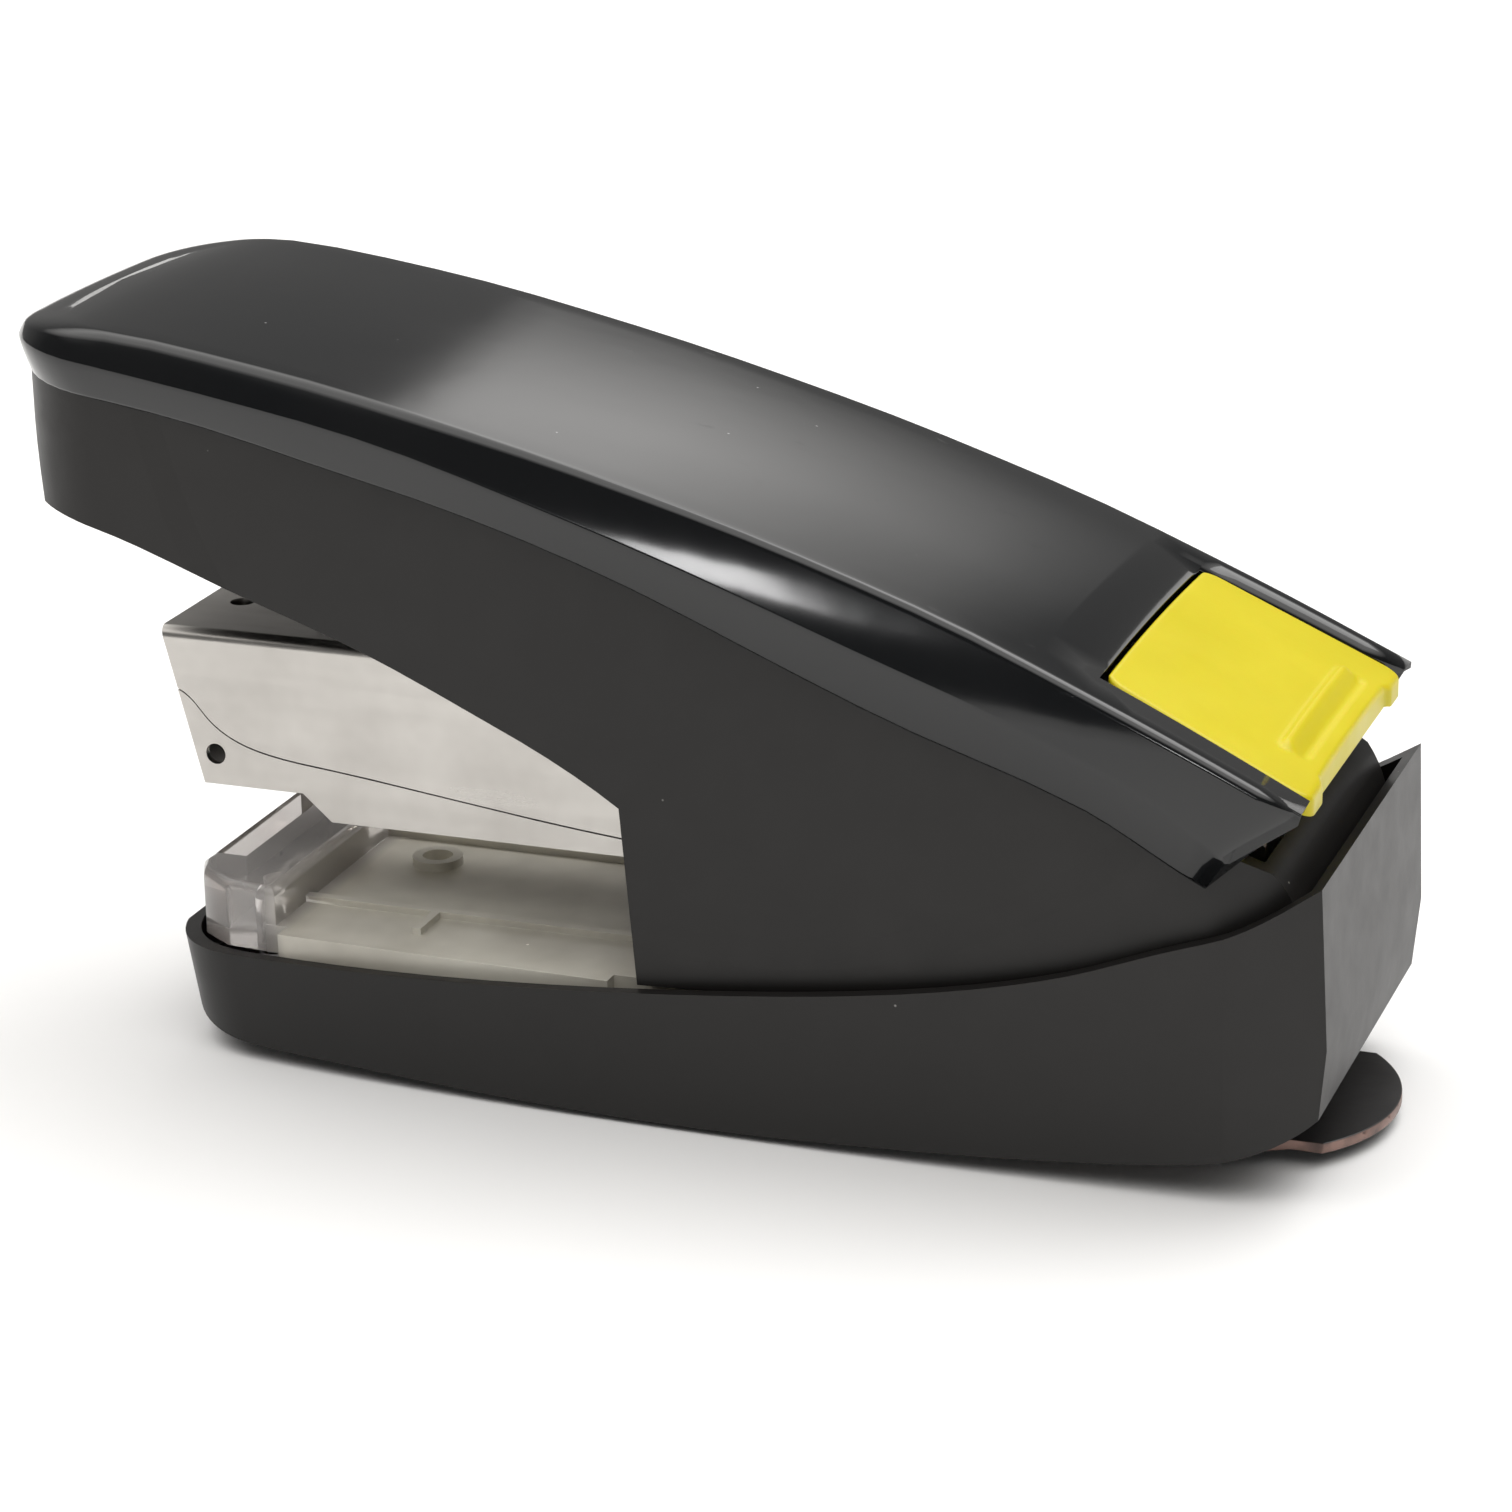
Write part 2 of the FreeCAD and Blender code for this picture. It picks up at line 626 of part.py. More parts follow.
def make_staple_strip():
    """One strip of fifty staples."""
    body = new_body("staple_strip")
    front = -96.5
    crown = dim("staple_crown")
    across(body, rectangle(front, 21.95, front + dim("strip_length"), crown), "2 * dims.staple_half_width")
    across(body, rectangle(front - 1, 10.0, front + dim("strip_length") + 1, crown - 0.55),
           "2 * (dims.staple_half_width - 0.55)", cut=True)
    return finish_subpart(body, "staple_strip")


def make_pusher_rod():
    rod = cylinder_between("pusher_rod_bar", "0.8", "27", (-73.6, 0.0, ROD_Z), "x")
    return joined_single("pusher_rod", rod)


def make_pusher_spring():
    coil = coil_spring("pusher_spring", (-64.8, 0.0, ROD_Z), "x", 1.5, 0.35, 17.9, 12)
    return joined_single("pusher_spring", coil)


def make_staple_pusher():
    """The follower: a saddle over the rail, with a tongue down to the rod."""
    body = new_body("staple_pusher")
    rear = -65.0
    front = -96.5 + dim("strip_length") + 0.1
    across(body, rectangle(front, 24.0, rear, 28.0), "2 * 6.3")
    across(body, rectangle(front - 1, 10.0, rear + 1, dim("rail_top") + 0.1), "2 * (dims.rail_half_width + 0.1)",
           cut=True)
    across(body, rectangle(front, 20.6, rear, 27.8), "2.4")
    along(body, circle(0.0, ROD_Z, 0.85), f"{front - 1}", "8", cut=True)
    return finish_subpart(body, "staple_pusher")


# ---------------------------------------------------------------- latch and button

def make_tray_latch():
    """Lever over the tray's rear lip, lifted by the button's leg."""
    body = new_body("tray_latch")
    outline = straight([(-48.6, 24.2), (-47.4, 24.2), (-47.4, 24.9), (-26.0, 24.9), (-22.0, 25.2), (-20.2, 26.4),
                        (-7.6, 27.2), (-7.6, 28.2), (-20.4, 28.6), (-22.0, 28.8), (-23.6, 28.4), (-26.0, 25.9),
                        (-48.6, 25.9)])
    across(body, outline, "10")
    across(body, rectangle(-50.0, 20.0, -47.0, 24.9), "6", cut=True)
    across(body, circle(*LATCH_PIN, 0.95), "60", cut=True)
    return finish_subpart(body, "tray_latch")


def button_top(x):
    """The button's top slopes down to the rear like the cover."""
    return 40.0 + (dim("button_front") - x) * 0.429


def make_release_button():
    """The yellow button: a plate that fills the cover's cut-out, two lugs on its pin and a leg."""
    body = new_body("release_button")
    front = dim("button_front")
    rear = dim("button_rear")
    slab = straight([(front, button_top(front)), (front, button_top(front) - 2.2),
                     (-4.6, button_top(-4.6) - 2.0), (-4.2, button_top(-4.2) - 3.0),
                     (rear - 0.5, button_top(rear) - 3.0), (rear, button_top(rear))])
    across(body, slab, "2 * dims.button_rear_half")
    rib = straight([(-5.6, button_top(-5.6) - 0.5), (-5.6, button_top(-5.6)), (-4.9, button_top(-4.9) + 0.75),
                    (-4.1, button_top(-4.1) + 0.75), (-3.4, button_top(-3.4)), (-3.4, button_top(-3.4) - 0.5)])
    across(body, rib, "20.4")
    valley = straight([(-3.3, button_top(-3.3) + 1.0), (-3.3, button_top(-3.3) + 0.05),
                       (-2.9, button_top(-2.9) - 0.45), (-2.1, button_top(-2.1) - 0.1),
                       (-1.9, button_top(-1.9) + 1.0)])
    across(body, valley, "20.4", cut=True)
    wide = dim("button_rear_half")
    narrow = dim("button_front_half")
    for side in (-1, 1):
        wedge = straight([(front - 1, side * narrow), (rear + 1, side * wide), (rear + 1, side * (wide + 4)),
                          (front - 1, side * (wide + 4))])
        upward(body, wedge, "20", "30", cut=True)
    lug_edge = [(-17.6, button_top(-17.6) - 1.0), (-17.6, 31.6), (-16.6, 30.8), (-15.4, 30.8), (-14.2, 31.6),
                (-14.2, button_top(-14.2) - 1.0)]
    across(body, straight(lug_edge), "12")
    across(body, rectangle(-20.0, 25.0, -13.0, button_top(-16.0) - 2.2), "8.4", cut=True)
    across(body, straight([(-8.8, button_top(-8.8) - 1.0), (-8.4, 28.5), (-7.8, 28.5),
                           (-7.2, button_top(-7.2) - 1.0)]), "8")
    across(body, circle(*BUTTON_PIN, 1.05), "60", cut=True)
    return finish_subpart(body, "release_button")


# ---------------------------------------------------------------- handle

def handle_plan(inset):
    """Plan outline of the handle: straight sides and round front corners."""
    front = dim("handle_front") + inset
    half = 21.0 - inset
    radius = 9.0 - inset
    corner = (front + radius, 18.7 - inset - radius)
    bow = arc_points(corner, radius, 180.0, 90.0, 5)
    left = [(a, -b) for a, b in bow]
    side = (-60.0, half)
    return mixed([(6.0, -half), (6.0, half)], [(6.0, half), side], [side, bow[-1]], bow[::-1],
                 [bow[0], left[0]], left, [left[-1], (-60.0, -half)], [(-60.0, -half), (6.0, -half)])


def plan_prism(edges):
    """A plan outline (x, y) made into a prism taller than the handle."""
    wire = Part.Wire([edge.toShape() for edge in edges])
    return Part.Face(wire).extrude(V(0, 0, 90))


def skirt_plan(inset):
    """Plan outline of the skirts: round at the nose, with the rear corners turned in beside the pivot."""
    front = dim("handle_front") + 1.2 + inset
    half = dim("skirt_half_width") - inset
    radius = 8.5 - inset
    bow = arc_points((front + radius, half - radius), radius, 180.0, 90.0, 5)
    left = [(a, -b) for a, b in bow]
    corner = -8.8 - 0.2 * inset
    rear = half - 0.355 * (2.0 - corner)
    return mixed([(2.0, -rear), (2.0, rear)], [(2.0, rear), (corner, half)], [(corner, half), bow[-1]], bow[::-1],
                 [bow[0], left[0]], left, [left[-1], (corner, -half)], [(corner, -half), (2.0, -rear)])


def cover_section(x, top, top_half, crease, crease_half, low, low_half):
    points = [(-low_half, low), (-crease_half, crease), (-top_half, top), (top_half, top),
              (crease_half, crease), (low_half, low)]
    return Part.makePolygon([V(x, y, z) for y, z in points + points[:1]])


def cover_loft(stations):
    wires = [cover_section(*station) for station in stations]
    return Part.makeLoft(wires, True, False)


def cover_side():
    """Side outline of the cover: rounded at the nose, cut off at a slant at the rear."""
    front = dim("handle_front")
    nose = [(front + 1.2, 56.4), (front, 59.2), (front + 1.6, 62.0), (front + 6.0, 63.8)]
    return mixed(nose, [nose[-1], (-60.0, 75.0)], [(-60.0, 75.0), (-0.9, 60.0)], [(-0.9, 60.0), (-0.9, 32.6)],
                 [(-0.9, 32.6), (-9.4, 25.4)], [(-9.4, 25.4), (-9.4, 10.0)], [(-9.4, 10.0), (front + 1.2, 10.0)],
                 [(front + 1.2, 10.0), nose[0]])


def side_prism(edges, half_width):
    """A side outline (x, z) made into a prism across the whole width."""
    shape = Part.Wire([edge.toShape() for edge in edges])
    shape.rotate(V(0, 0, 0), V(1, 0, 0), 90)
    return Part.Face(shape).extrude(V(0, 2 * half_width, 0)).translated(V(0, -half_width, 0))


def make_handle_cover():
    """The glossy top: a flat top face with bevelled edges that overlap the skirts, cut out for the button."""
    outer = cover_loft([(x, top, th, cr, ch, low, ch - 0.7) for x, top, th, cr, ch, low in COVER_STATIONS])
    outer = outer.common(side_prism(cover_side(), 30)).common(plan_prism(handle_plan(0.0)))
    half = dim("skirt_half_width") + 0.05
    inner = cover_loft([(x, top - 1.9, min(th - 1.0, half), cr, half, low - 2, half)
                        for x, top, th, cr, ch, low in COVER_STATIONS])
    inner = inner.common(plan_prism(handle_plan(0.85)))
    shape = outer.cut(inner)
    gap = dim("button_gap")
    front = dim("button_front") - gap
    rear = 3.0
    narrow = dim("button_front_half") + gap
    slope = (dim("button_rear_half") - dim("button_front_half")) / (dim("button_rear") - dim("button_front"))
    wide = narrow + slope * (rear - front)
    hole = Part.makePolygon([V(front, -narrow, 20), V(rear, -wide, 20), V(rear, wide, 20), V(front, narrow, 20),
                             V(front, -narrow, 20)])
    shape = shape.cut(Part.Face(hole).extrude(V(0, 0, 40)))
    for x in HANDLE_SCREWS:
        start = plate_line(x) + 0.35
        boss = Part.makeCylinder(2.6, cover_height(x, 1) - 1.0 - start, V(x, 0, start))
        bore = Part.makeCylinder(1.15, 5.0, V(x, 0, start))
        shape = shape.fuse(boss).cut(bore)
    cover = doc.addObject("Part::Feature", "handle_cover")
    cover.Shape = shape.removeSplitter()
    return finish_subpart(cover, "handle_cover")


HANDLE_SCREWS = (-64.0, -30.0)


def plate_line(x):
    """Top face of the handle's steel plate, level at the screws."""
    return 37.3 + max(0.0, -24.0 - x) * 0.1


def make_handle_body():
    """Satin black walls under the cover: two skirts and the round front."""
    front = dim("handle_front") + 1.2
    arc = arc_points(PIVOT, 9.1, -50.0, 40.0, 8)
    lower = [(front + 2.6, 47.2), (-99.5, 45.1), (-91.4, 42.1), (-79.2, 37.8), (-69.9, 33.7), (-63.4, 30.6),
             (-57.0, 26.8)]
    upper = [(x, low + 2.4) for x, _, _, _, _, low in COVER_STATIONS[1:-1]]
    top_line = [(front, upper[0][1] + 0.6)] + upper + [arc[-1]]
    outline = mixed(lower, [lower[-1], (-55.8, 11.8)], [(-55.8, 11.8), arc[0]], arc,
                    *[[a, b] for a, b in zip(top_line[::-1], top_line[::-1][1:])], [top_line[0], lower[0]])
    wall = dim("skirt_wall")
    rear = arc_points(PIVOT, 9.1 - 1.3, -50.0, 40.0, 8)
    inside = mixed([(front + wall, 70.0), (front + wall + 2.6, 40.0)], [(front + wall + 2.6, 40.0), (-70.0, 5.0)],
                   [(-70.0, 5.0), (rear[0][0], 5.0)], [(rear[0][0], 5.0), rear[0]], rear,
                   [rear[-1], (rear[-1][0], 70.0)], [(rear[-1][0], 70.0), (front + wall, 70.0)])
    outer = side_prism(outline, 30).common(plan_prism(skirt_plan(0.0)))
    inner = side_prism(inside, 30).common(plan_prism(skirt_plan(wall)))
    body = doc.addObject("Part::Feature", "handle_body")
    body.Shape = outer.cut(inner)
    return finish_subpart(body, "handle_body")


def make_handle_plate():
    """Steel channel under the cover that turns on the main pin and carries the driver."""
    body = new_body("handle_plate")
    top = [(-68.0, plate_line(-68.0)), (-24.0, plate_line(-24.0))]
    outline = straight([top[0], top[1], (-17.0, 29.0), (-8.0, 25.6), (-6.4, 21.0), (-8.6, 17.2), (-13.4, 17.2),
                        (-22.0, 24.0), (-32.0, 32.6), (-68.0, plate_line(-68.0) - 3.4)])
    across(body, outline, "2 * dims.plate_half_width")
    under = straight([(-80.0, plate_line(-80.0) - 1.0), (-24.0, plate_line(-24.0) - 1.0),
                      (-24.0, 60.0), (5.0, 60.0), (5.0, 5.0), (-80.0, 5.0)])
    across(body, under, "2 * (dims.plate_half_width - dims.handle_gauge)", cut=True)
    across(body, circle(*PIVOT, dim("pin_radius") + dim("running_gap")), "60", cut=True)
    for x in HANDLE_SCREWS:
        upward(body, circle(x, 0.0, 1.3), "30", "15", cut=True)
        upward(body, circle(x, 0.0, 2.1), "34", f"{plate_line(x) - dim('handle_gauge') + 0.5 - 34.0}", cut=True)
    return finish_subpart(body, "handle_plate")


def make_handle_screws():
    screws = []
    for k, x in enumerate(HANDLE_SCREWS):
        low = plate_line(x) - dim("handle_gauge") + 0.05
        head = cylinder_between(f"handle_screw_{k}_head", "2.0", "0.4", (x, 0.0, low), "z")
        shank = cylinder_between(f"handle_screw_{k}_shank", "1.1", "5.2", (x, 0.0, low + 0.1), "z")
        screw = doc.addObject("Part::Fuse", f"handle_screw_{k}")
        screw.Base = head
        screw.Tool = shank
        screws.append(screw)
    return joined("handle_screws", screws)


def make_handle_spring():
    """Leaf spring that keeps the handle off the magazine."""
    body = new_body("handle_spring")
    gauge = 0.4
    root = plate_line(-66.0) - dim("handle_gauge") - gauge - 0.1
    lower = [(-66.0, root), (-74.0, 37.6), (-82.0, 35.6), (-88.0, 35.0), (-90.0, 35.4)]
    upper = [(a, b + gauge) for a, b in lower]
    across(body, mixed(lower, [lower[-1], upper[-1]], upper[::-1], [upper[0], lower[0]]), "7")
    return finish_subpart(body, "handle_spring")


POSTS = (-47.0, -55.0)


def make_driver_posts():
    posts = []
    for k, x in enumerate(POSTS):
        height = plate_line(x) - 1.2 - 33.6
        posts.append(cylinder_between(f"driver_post_{k}", "2.0", f"{height}", (x, 0.0, 33.6), "z"))
    return joined("driver_posts", posts)


def make_driver_arm():
    """Channel inside the housing: a bridge under the posts, and two side plates to the blade."""
    body = new_body("driver_arm")
    nose = dim("blade_back") - dim("blade_gauge")
    outline = straight([(nose, 29.4), (nose, 33.6), (-38.0, 33.6), (-26.0, 24.8), (-11.0, 25.6), (-6.8, 23.4),
                        (-6.4, 19.6), (-9.4, 16.8), (-14.0, 16.8), (-28.0, 21.2), (-40.0, 29.4)])
    across(body, outline, "2 * (dims.blade_half_width + dims.driver_gauge)")
    under = straight([(-105.0, 10.0), (-105.0, 60.0), (-62.0, 60.0), (-62.0, 33.0), (-38.4, 33.0), (-38.4, 60.0),
                      (5.0, 60.0), (5.0, 10.0)])
    across(body, under, "2 * dims.blade_half_width", cut=True)
    across(body, circle(*PIVOT, dim("pin_radius") + dim("running_gap")), "60", cut=True)
    return finish_subpart(body, "driver_arm")


def make_driver_blade():
    blade = doc.addObject("Part::Box", "driver_blade_solid")
    blade.setExpression("Length", "dims.blade_gauge")
    blade.setExpression("Width", "2 * dims.blade_half_width")
    blade.setExpression("Height", "33.4 - dims.blade_foot")
    blade.Placement.Base = V(dim("blade_back") - dim("blade_gauge"), -dim("blade_half_width"), dim("blade_foot"))
    return joined_single("driver_blade", blade)


def build():
    make_base_shell()
    make_base_plate()
    make_foot_pads()
    make_base_screws()
    make_pivot_bracket()
    make_bracket_rivets()
    make_main_pin()
    make_clincher()
    make_table_guides()
    make_table_springs()
    make_return_spring()
    make_clear_table()
    make_magazine_housing()
    make_spring_seat()
    make_pin("button_pin", BUTTON_PIN, 1.0, 9.0)
    make_button_spring()
    make_pin("latch_pin", LATCH_PIN, 0.9, 9.0)
    make_latch_spring()
    make_eject_spring()
    make_staple_tray()
    make_staple_rail()
    make_staple_strip()
    make_pusher_rod()
    make_pusher_spring()
    make_staple_pusher()
    make_tray_latch()
    make_release_button()
    make_handle_cover()
    make_handle_body()
    make_handle_plate()
    make_handle_screws()
    make_handle_spring()
    make_driver_posts()
    make_driver_arm()
    make_driver_blade()


def export():
    """Check every object, then write one STEP file for each sub-part."""
    doc.recompute()
    for item in doc.Objects:
        if "Invalid" in item.State or "Error" in item.State:
            raise RuntimeError(f"{item.Name} failed: {item.State}")
    os.makedirs("parts", exist_ok=True)
    for item in subparts:
        shape = item.Shape
        if shape.isNull() or not shape.isValid():
            raise RuntimeError(f"{item.Label} has no valid shape")
        print(f"{item.Label:18s} solids {len(shape.Solids)} volume {shape.Volume:9.1f}")
        shape.exportStep(f"parts/{item.Label}.step")


build()
export()
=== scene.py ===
import json
import math

import bmesh
import bpy
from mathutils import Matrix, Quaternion, Vector


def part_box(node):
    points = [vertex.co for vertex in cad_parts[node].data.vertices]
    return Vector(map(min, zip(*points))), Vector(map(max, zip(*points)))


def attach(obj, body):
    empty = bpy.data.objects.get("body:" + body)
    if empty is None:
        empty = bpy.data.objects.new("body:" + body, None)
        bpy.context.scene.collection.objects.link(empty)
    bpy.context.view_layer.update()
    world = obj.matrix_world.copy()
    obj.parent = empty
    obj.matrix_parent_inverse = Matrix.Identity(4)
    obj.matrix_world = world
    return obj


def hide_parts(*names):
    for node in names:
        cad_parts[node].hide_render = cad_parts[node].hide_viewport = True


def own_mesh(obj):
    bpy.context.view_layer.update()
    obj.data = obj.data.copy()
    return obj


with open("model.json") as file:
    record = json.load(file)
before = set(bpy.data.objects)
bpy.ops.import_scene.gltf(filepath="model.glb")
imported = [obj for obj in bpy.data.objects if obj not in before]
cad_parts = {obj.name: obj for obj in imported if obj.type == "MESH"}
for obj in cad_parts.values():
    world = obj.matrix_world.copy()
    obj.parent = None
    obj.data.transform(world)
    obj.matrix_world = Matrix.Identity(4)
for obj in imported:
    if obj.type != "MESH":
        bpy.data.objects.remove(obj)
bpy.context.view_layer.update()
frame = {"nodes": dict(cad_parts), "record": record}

MM = 0.001
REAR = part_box("base_plate")[1][0] - 2.9 * MM  # the top of the base's rear wall, which is x = 0 below


def at(x, y, z):
    """A point given in mm from the rear wall, the plane of symmetry and the floor."""
    return Vector((REAR + x * MM, y * MM, z * MM))


def curve_through(points):
    """A smooth function through (x, value) points with rising x."""
    def value(x):
        x = min(max(x, points[0][0]), points[-1][0])
        k = max(i for i in range(len(points) - 1) if points[i][0] <= x)
        (x0, v0), (x1, v1) = points[k], points[k + 1]
        before = points[k - 1] if k else (2 * x0 - x1, 2 * v0 - v1)
        after = points[k + 2] if k + 2 < len(points) else (2 * x1 - x0, 2 * v1 - v0)
        slope0 = (v1 - before[1]) / (x1 - before[0])
        slope1 = (after[1] - v0) / (after[0] - x0)
        width = x1 - x0
        t = (x - x0) / width
        return (v0 * (1 + 2 * t) * (1 - t) ** 2 + slope0 * width * t * (1 - t) ** 2
                + v1 * t * t * (3 - 2 * t) + slope1 * width * t * t * (t - 1))
    return value


# ---------------------------------------------------------------- materials

class Nodes:
    """A node tree with short calls for its procedural nodes."""

    def __init__(self, tree, coordinates):
        self.tree = tree
        self.place = self.node("ShaderNodeTexCoord").outputs[coordinates]

    def parts_of(self, vector):
        """The X, Y and Z of a vector socket."""
        split = self.node("ShaderNodeSeparateXYZ")
        self.link(vector, split.inputs["Vector"])
        return split.outputs["X"], split.outputs["Y"], split.outputs["Z"]

    def node(self, kind, **settings):
        made = self.tree.nodes.new(kind)
        for key, value in settings.items():
            setattr(made, key, value)
        return made

    def link(self, source, target):
        self.tree.links.new(source, target)

    def stretched(self, scale):
        mapping = self.node("ShaderNodeMapping")
        mapping.inputs["Scale"].default_value = scale
        self.link(self.place, mapping.inputs["Vector"])
        return mapping.outputs["Vector"]

    def noise(self, scale, detail=2.0, roughness=0.5, where=None):
        made = self.node("ShaderNodeTexNoise")
        made.inputs["Scale"].default_value = scale
        made.inputs["Detail"].default_value = detail
        made.inputs["Roughness"].default_value = roughness
        self.link(where or self.place, made.inputs["Vector"])
        return made.outputs["Fac"]

    def ramp(self, source, low, high, start=0.0, end=1.0):
        """Maps a stretch of the source to a stretch of values."""
        made = self.node("ShaderNodeMapRange")
        made.inputs["From Min"].default_value = low
        made.inputs["From Max"].default_value = high
        made.inputs["To Min"].default_value = start
        made.inputs["To Max"].default_value = end
        self.link(source, made.inputs["Value"])
        return made.outputs["Result"]

    def maths(self, operation, first, second=None):
        made = self.node("ShaderNodeMath", operation=operation)
        for socket, value in zip(made.inputs, (first, second)):
            if isinstance(value, (int, float)):
                socket.default_value = value
            elif value is not None:
                self.link(value, socket)
        return made.outputs["Value"]

    def mix(self, share, first, second):
        """A colour between two colours, each a tuple or a socket."""
        made = self.node("ShaderNodeMix", data_type="RGBA")
        self.link(share, made.inputs["Factor"])
        for socket, value in ((made.inputs[6], first), (made.inputs[7], second)):
            if isinstance(value, tuple):
                socket.default_value = (*value, 1.0)
            else:
                self.link(value, socket)
        return made.outputs[2]

    def specks(self, scale, size, share):
        """Dust: small dots in a share of the cells."""
        cells = self.node("ShaderNodeTexVoronoi")
        cells.inputs["Scale"].default_value = scale
        self.link(self.place, cells.inputs["Vector"])
        near = self.ramp(cells.outputs["Distance"], size, size * 0.4)
        split = self.node("ShaderNodeSeparateColor")
        self.link(cells.outputs["Color"], split.inputs["Color"])
        chosen = self.maths("GREATER_THAN", split.outputs["Red"], 1.0 - share)
        return self.maths("MULTIPLY", near, chosen)


class Finish(Nodes):
    """A principled material."""

    def __init__(self, name):
        self.material = bpy.data.materials.new(name)
        self.material.use_nodes = True
        super().__init__(self.material.node_tree, "Object")
        self.shader = next(n for n in self.tree.nodes if n.type == "BSDF_PRINCIPLED")

    def set(self, **values):
        for key, value in values.items():
            self.shader.inputs[key.replace("_", " ")].default_value = value

    def colour(self, source):
        self.link(source, self.shader.inputs["Base Color"])

    def rough(self, source):
        self.link(source, self.shader.inputs["Roughness"])

    def bump(self, *layers):
        """Stacks bumps given as (height socket, depth in metres)."""
        normal = None
        for height, depth in layers:
            made = self.node("ShaderNodeBump")
            made.inputs["Distance"].default_value = depth
            self.link(height, made.inputs["Height"])
            if normal:
                self.link(normal, made.inputs["Normal"])
            normal = made.outputs["Normal"]
        self.link(normal, self.shader.inputs["Normal"])


def gloss_black():
    m = Finish("gloss_black")
    m.set(IOR=1.5, Coat_Weight=0.2, Coat_Roughness=0.06)
    smear = m.noise(35.0, 4.0)
    dust = m.specks(900.0, 0.12, 0.012)
    base = m.mix(m.ramp(smear, 0.35, 0.7), (0.0035, 0.0042, 0.0050), (0.0058, 0.0062, 0.0068))
    m.colour(m.mix(dust, base, (0.25, 0.25, 0.25)))
    scratches = m.ramp(m.noise(60.0, 6.0, 0.7, m.stretched((1.0, 9.0, 9.0))), 0.66, 0.72)
    m.rough(m.maths("ADD", m.ramp(smear, 0.3, 0.75, 0.07, 0.13), m.maths("MULTIPLY", scratches, 0.08)))
    m.bump((m.noise(240.0, 1.0), 0.000006), (m.noise(38.0, 1.0), 0.00004), (scratches, 0.000003))
    return m.material


def satin_black(name, fold=False):
    """Moulded black plastic with a fine grain. The handle's has a faint arched step across its side."""
    m = Finish(name)
    m.set(IOR=1.4)
    cloud = m.noise(22.0, 3.0)
    dust = m.specks(700.0, 0.10, 0.01)
    base = m.mix(m.ramp(cloud, 0.3, 0.7), (0.0100, 0.0092, 0.0087), (0.0135, 0.0124, 0.0116))
    m.colour(m.mix(dust, base, (0.3, 0.29, 0.28)))
    m.rough(m.ramp(m.noise(300.0, 3.0), 0.3, 0.7, 0.39, 0.44))
    layers = [(m.noise(2600.0, 2.0), 0.000005), (m.noise(45.0, 1.0), 0.000003)]
    if fold:
        x, _, z = m.parts_of(m.place)
        centre = at(-48.0, 0.0, 66.0)
        across = m.maths("SUBTRACT", x, centre.x)
        along = m.maths("SUBTRACT", z, centre.z)
        reach = m.maths("SQRT", m.maths("ADD", m.maths("MULTIPLY", across, across),
                                        m.maths("MULTIPLY", along, along)))
        layers.append((m.ramp(reach, 49.0 * MM, 51.5 * MM), 0.00012))
    m.bump(*layers)
    return m.material


def yellow_plastic():
    m = Finish("yellow_plastic")
    m.set(IOR=1.36, Subsurface_Weight=0.12, Subsurface_Scale=0.002)
    cloud = m.noise(80.0, 3.0)
    dust = m.specks(800.0, 0.10, 0.012)
    base = m.mix(m.ramp(cloud, 0.3, 0.7), (0.555, 0.468, 0.004), (0.60, 0.508, 0.008))
    m.colour(m.mix(dust, base, (0.55, 0.5, 0.2)))
    m.rough(m.ramp(m.noise(200.0, 3.0), 0.3, 0.7, 0.32, 0.44))
    m.bump((m.noise(1800.0, 2.0), 0.00001), (m.noise(90.0, 1.0), 0.00004))
    return m.material


def bright_nickel():
    """Rolled sheet with a soft mirror finish: long faint streaks and small dents."""
    m = Finish("bright_nickel")
    m.set(Metallic=1.0)
    streak = m.noise(40.0, 5.0, 0.6, m.stretched((1.0, 14.0, 14.0)))
    stain = m.noise(55.0, 4.0, 0.65)
    m.colour(m.mix(m.ramp(stain, 0.35, 0.72), (0.58, 0.56, 0.53), (0.44, 0.42, 0.395)))
    m.rough(m.ramp(streak, 0.25, 0.75, 0.25, 0.4))
    m.bump((streak, 0.000015), (m.noise(30.0, 1.0), 0.0002))
    return m.material


def plated_steel(name, light, dark, roughness):
    m = Finish(name)
    m.set(Metallic=1.0)
    grain = m.noise(90.0, 5.0, 0.6, m.stretched((1.0, 7.0, 7.0)))
    m.colour(m.mix(m.ramp(m.noise(120.0, 3.0), 0.3, 0.7), light, dark))
    m.rough(m.ramp(grain, 0.25, 0.75, roughness, roughness + 0.15))
    m.bump((grain, 0.00002))
    return m.material


def enamelled_plate():
    """Black enamel on steel, worn to brownish bare metal along the cut edge."""
    m = Finish("enamelled_plate")
    upright = m.parts_of(m.node("ShaderNodeNewGeometry").outputs["Normal"])[2]
    level = m.maths("ABSOLUTE", upright)
    edge = m.ramp(level, 0.75, 0.35)
    wear = m.ramp(m.noise(400.0, 4.0), 0.25, 0.6)
    share = m.maths("MULTIPLY", edge, wear)
    m.colour(m.mix(share, (0.014, 0.013, 0.013), (0.30, 0.19, 0.16)))
    m.link(m.maths("MULTIPLY", share, 0.6), m.shader.inputs["Metallic"])
    m.rough(m.ramp(m.noise(150.0, 3.0), 0.3, 0.7, 0.28, 0.42))
    m.bump((m.noise(500.0, 2.0), 0.00002))
    return m.material


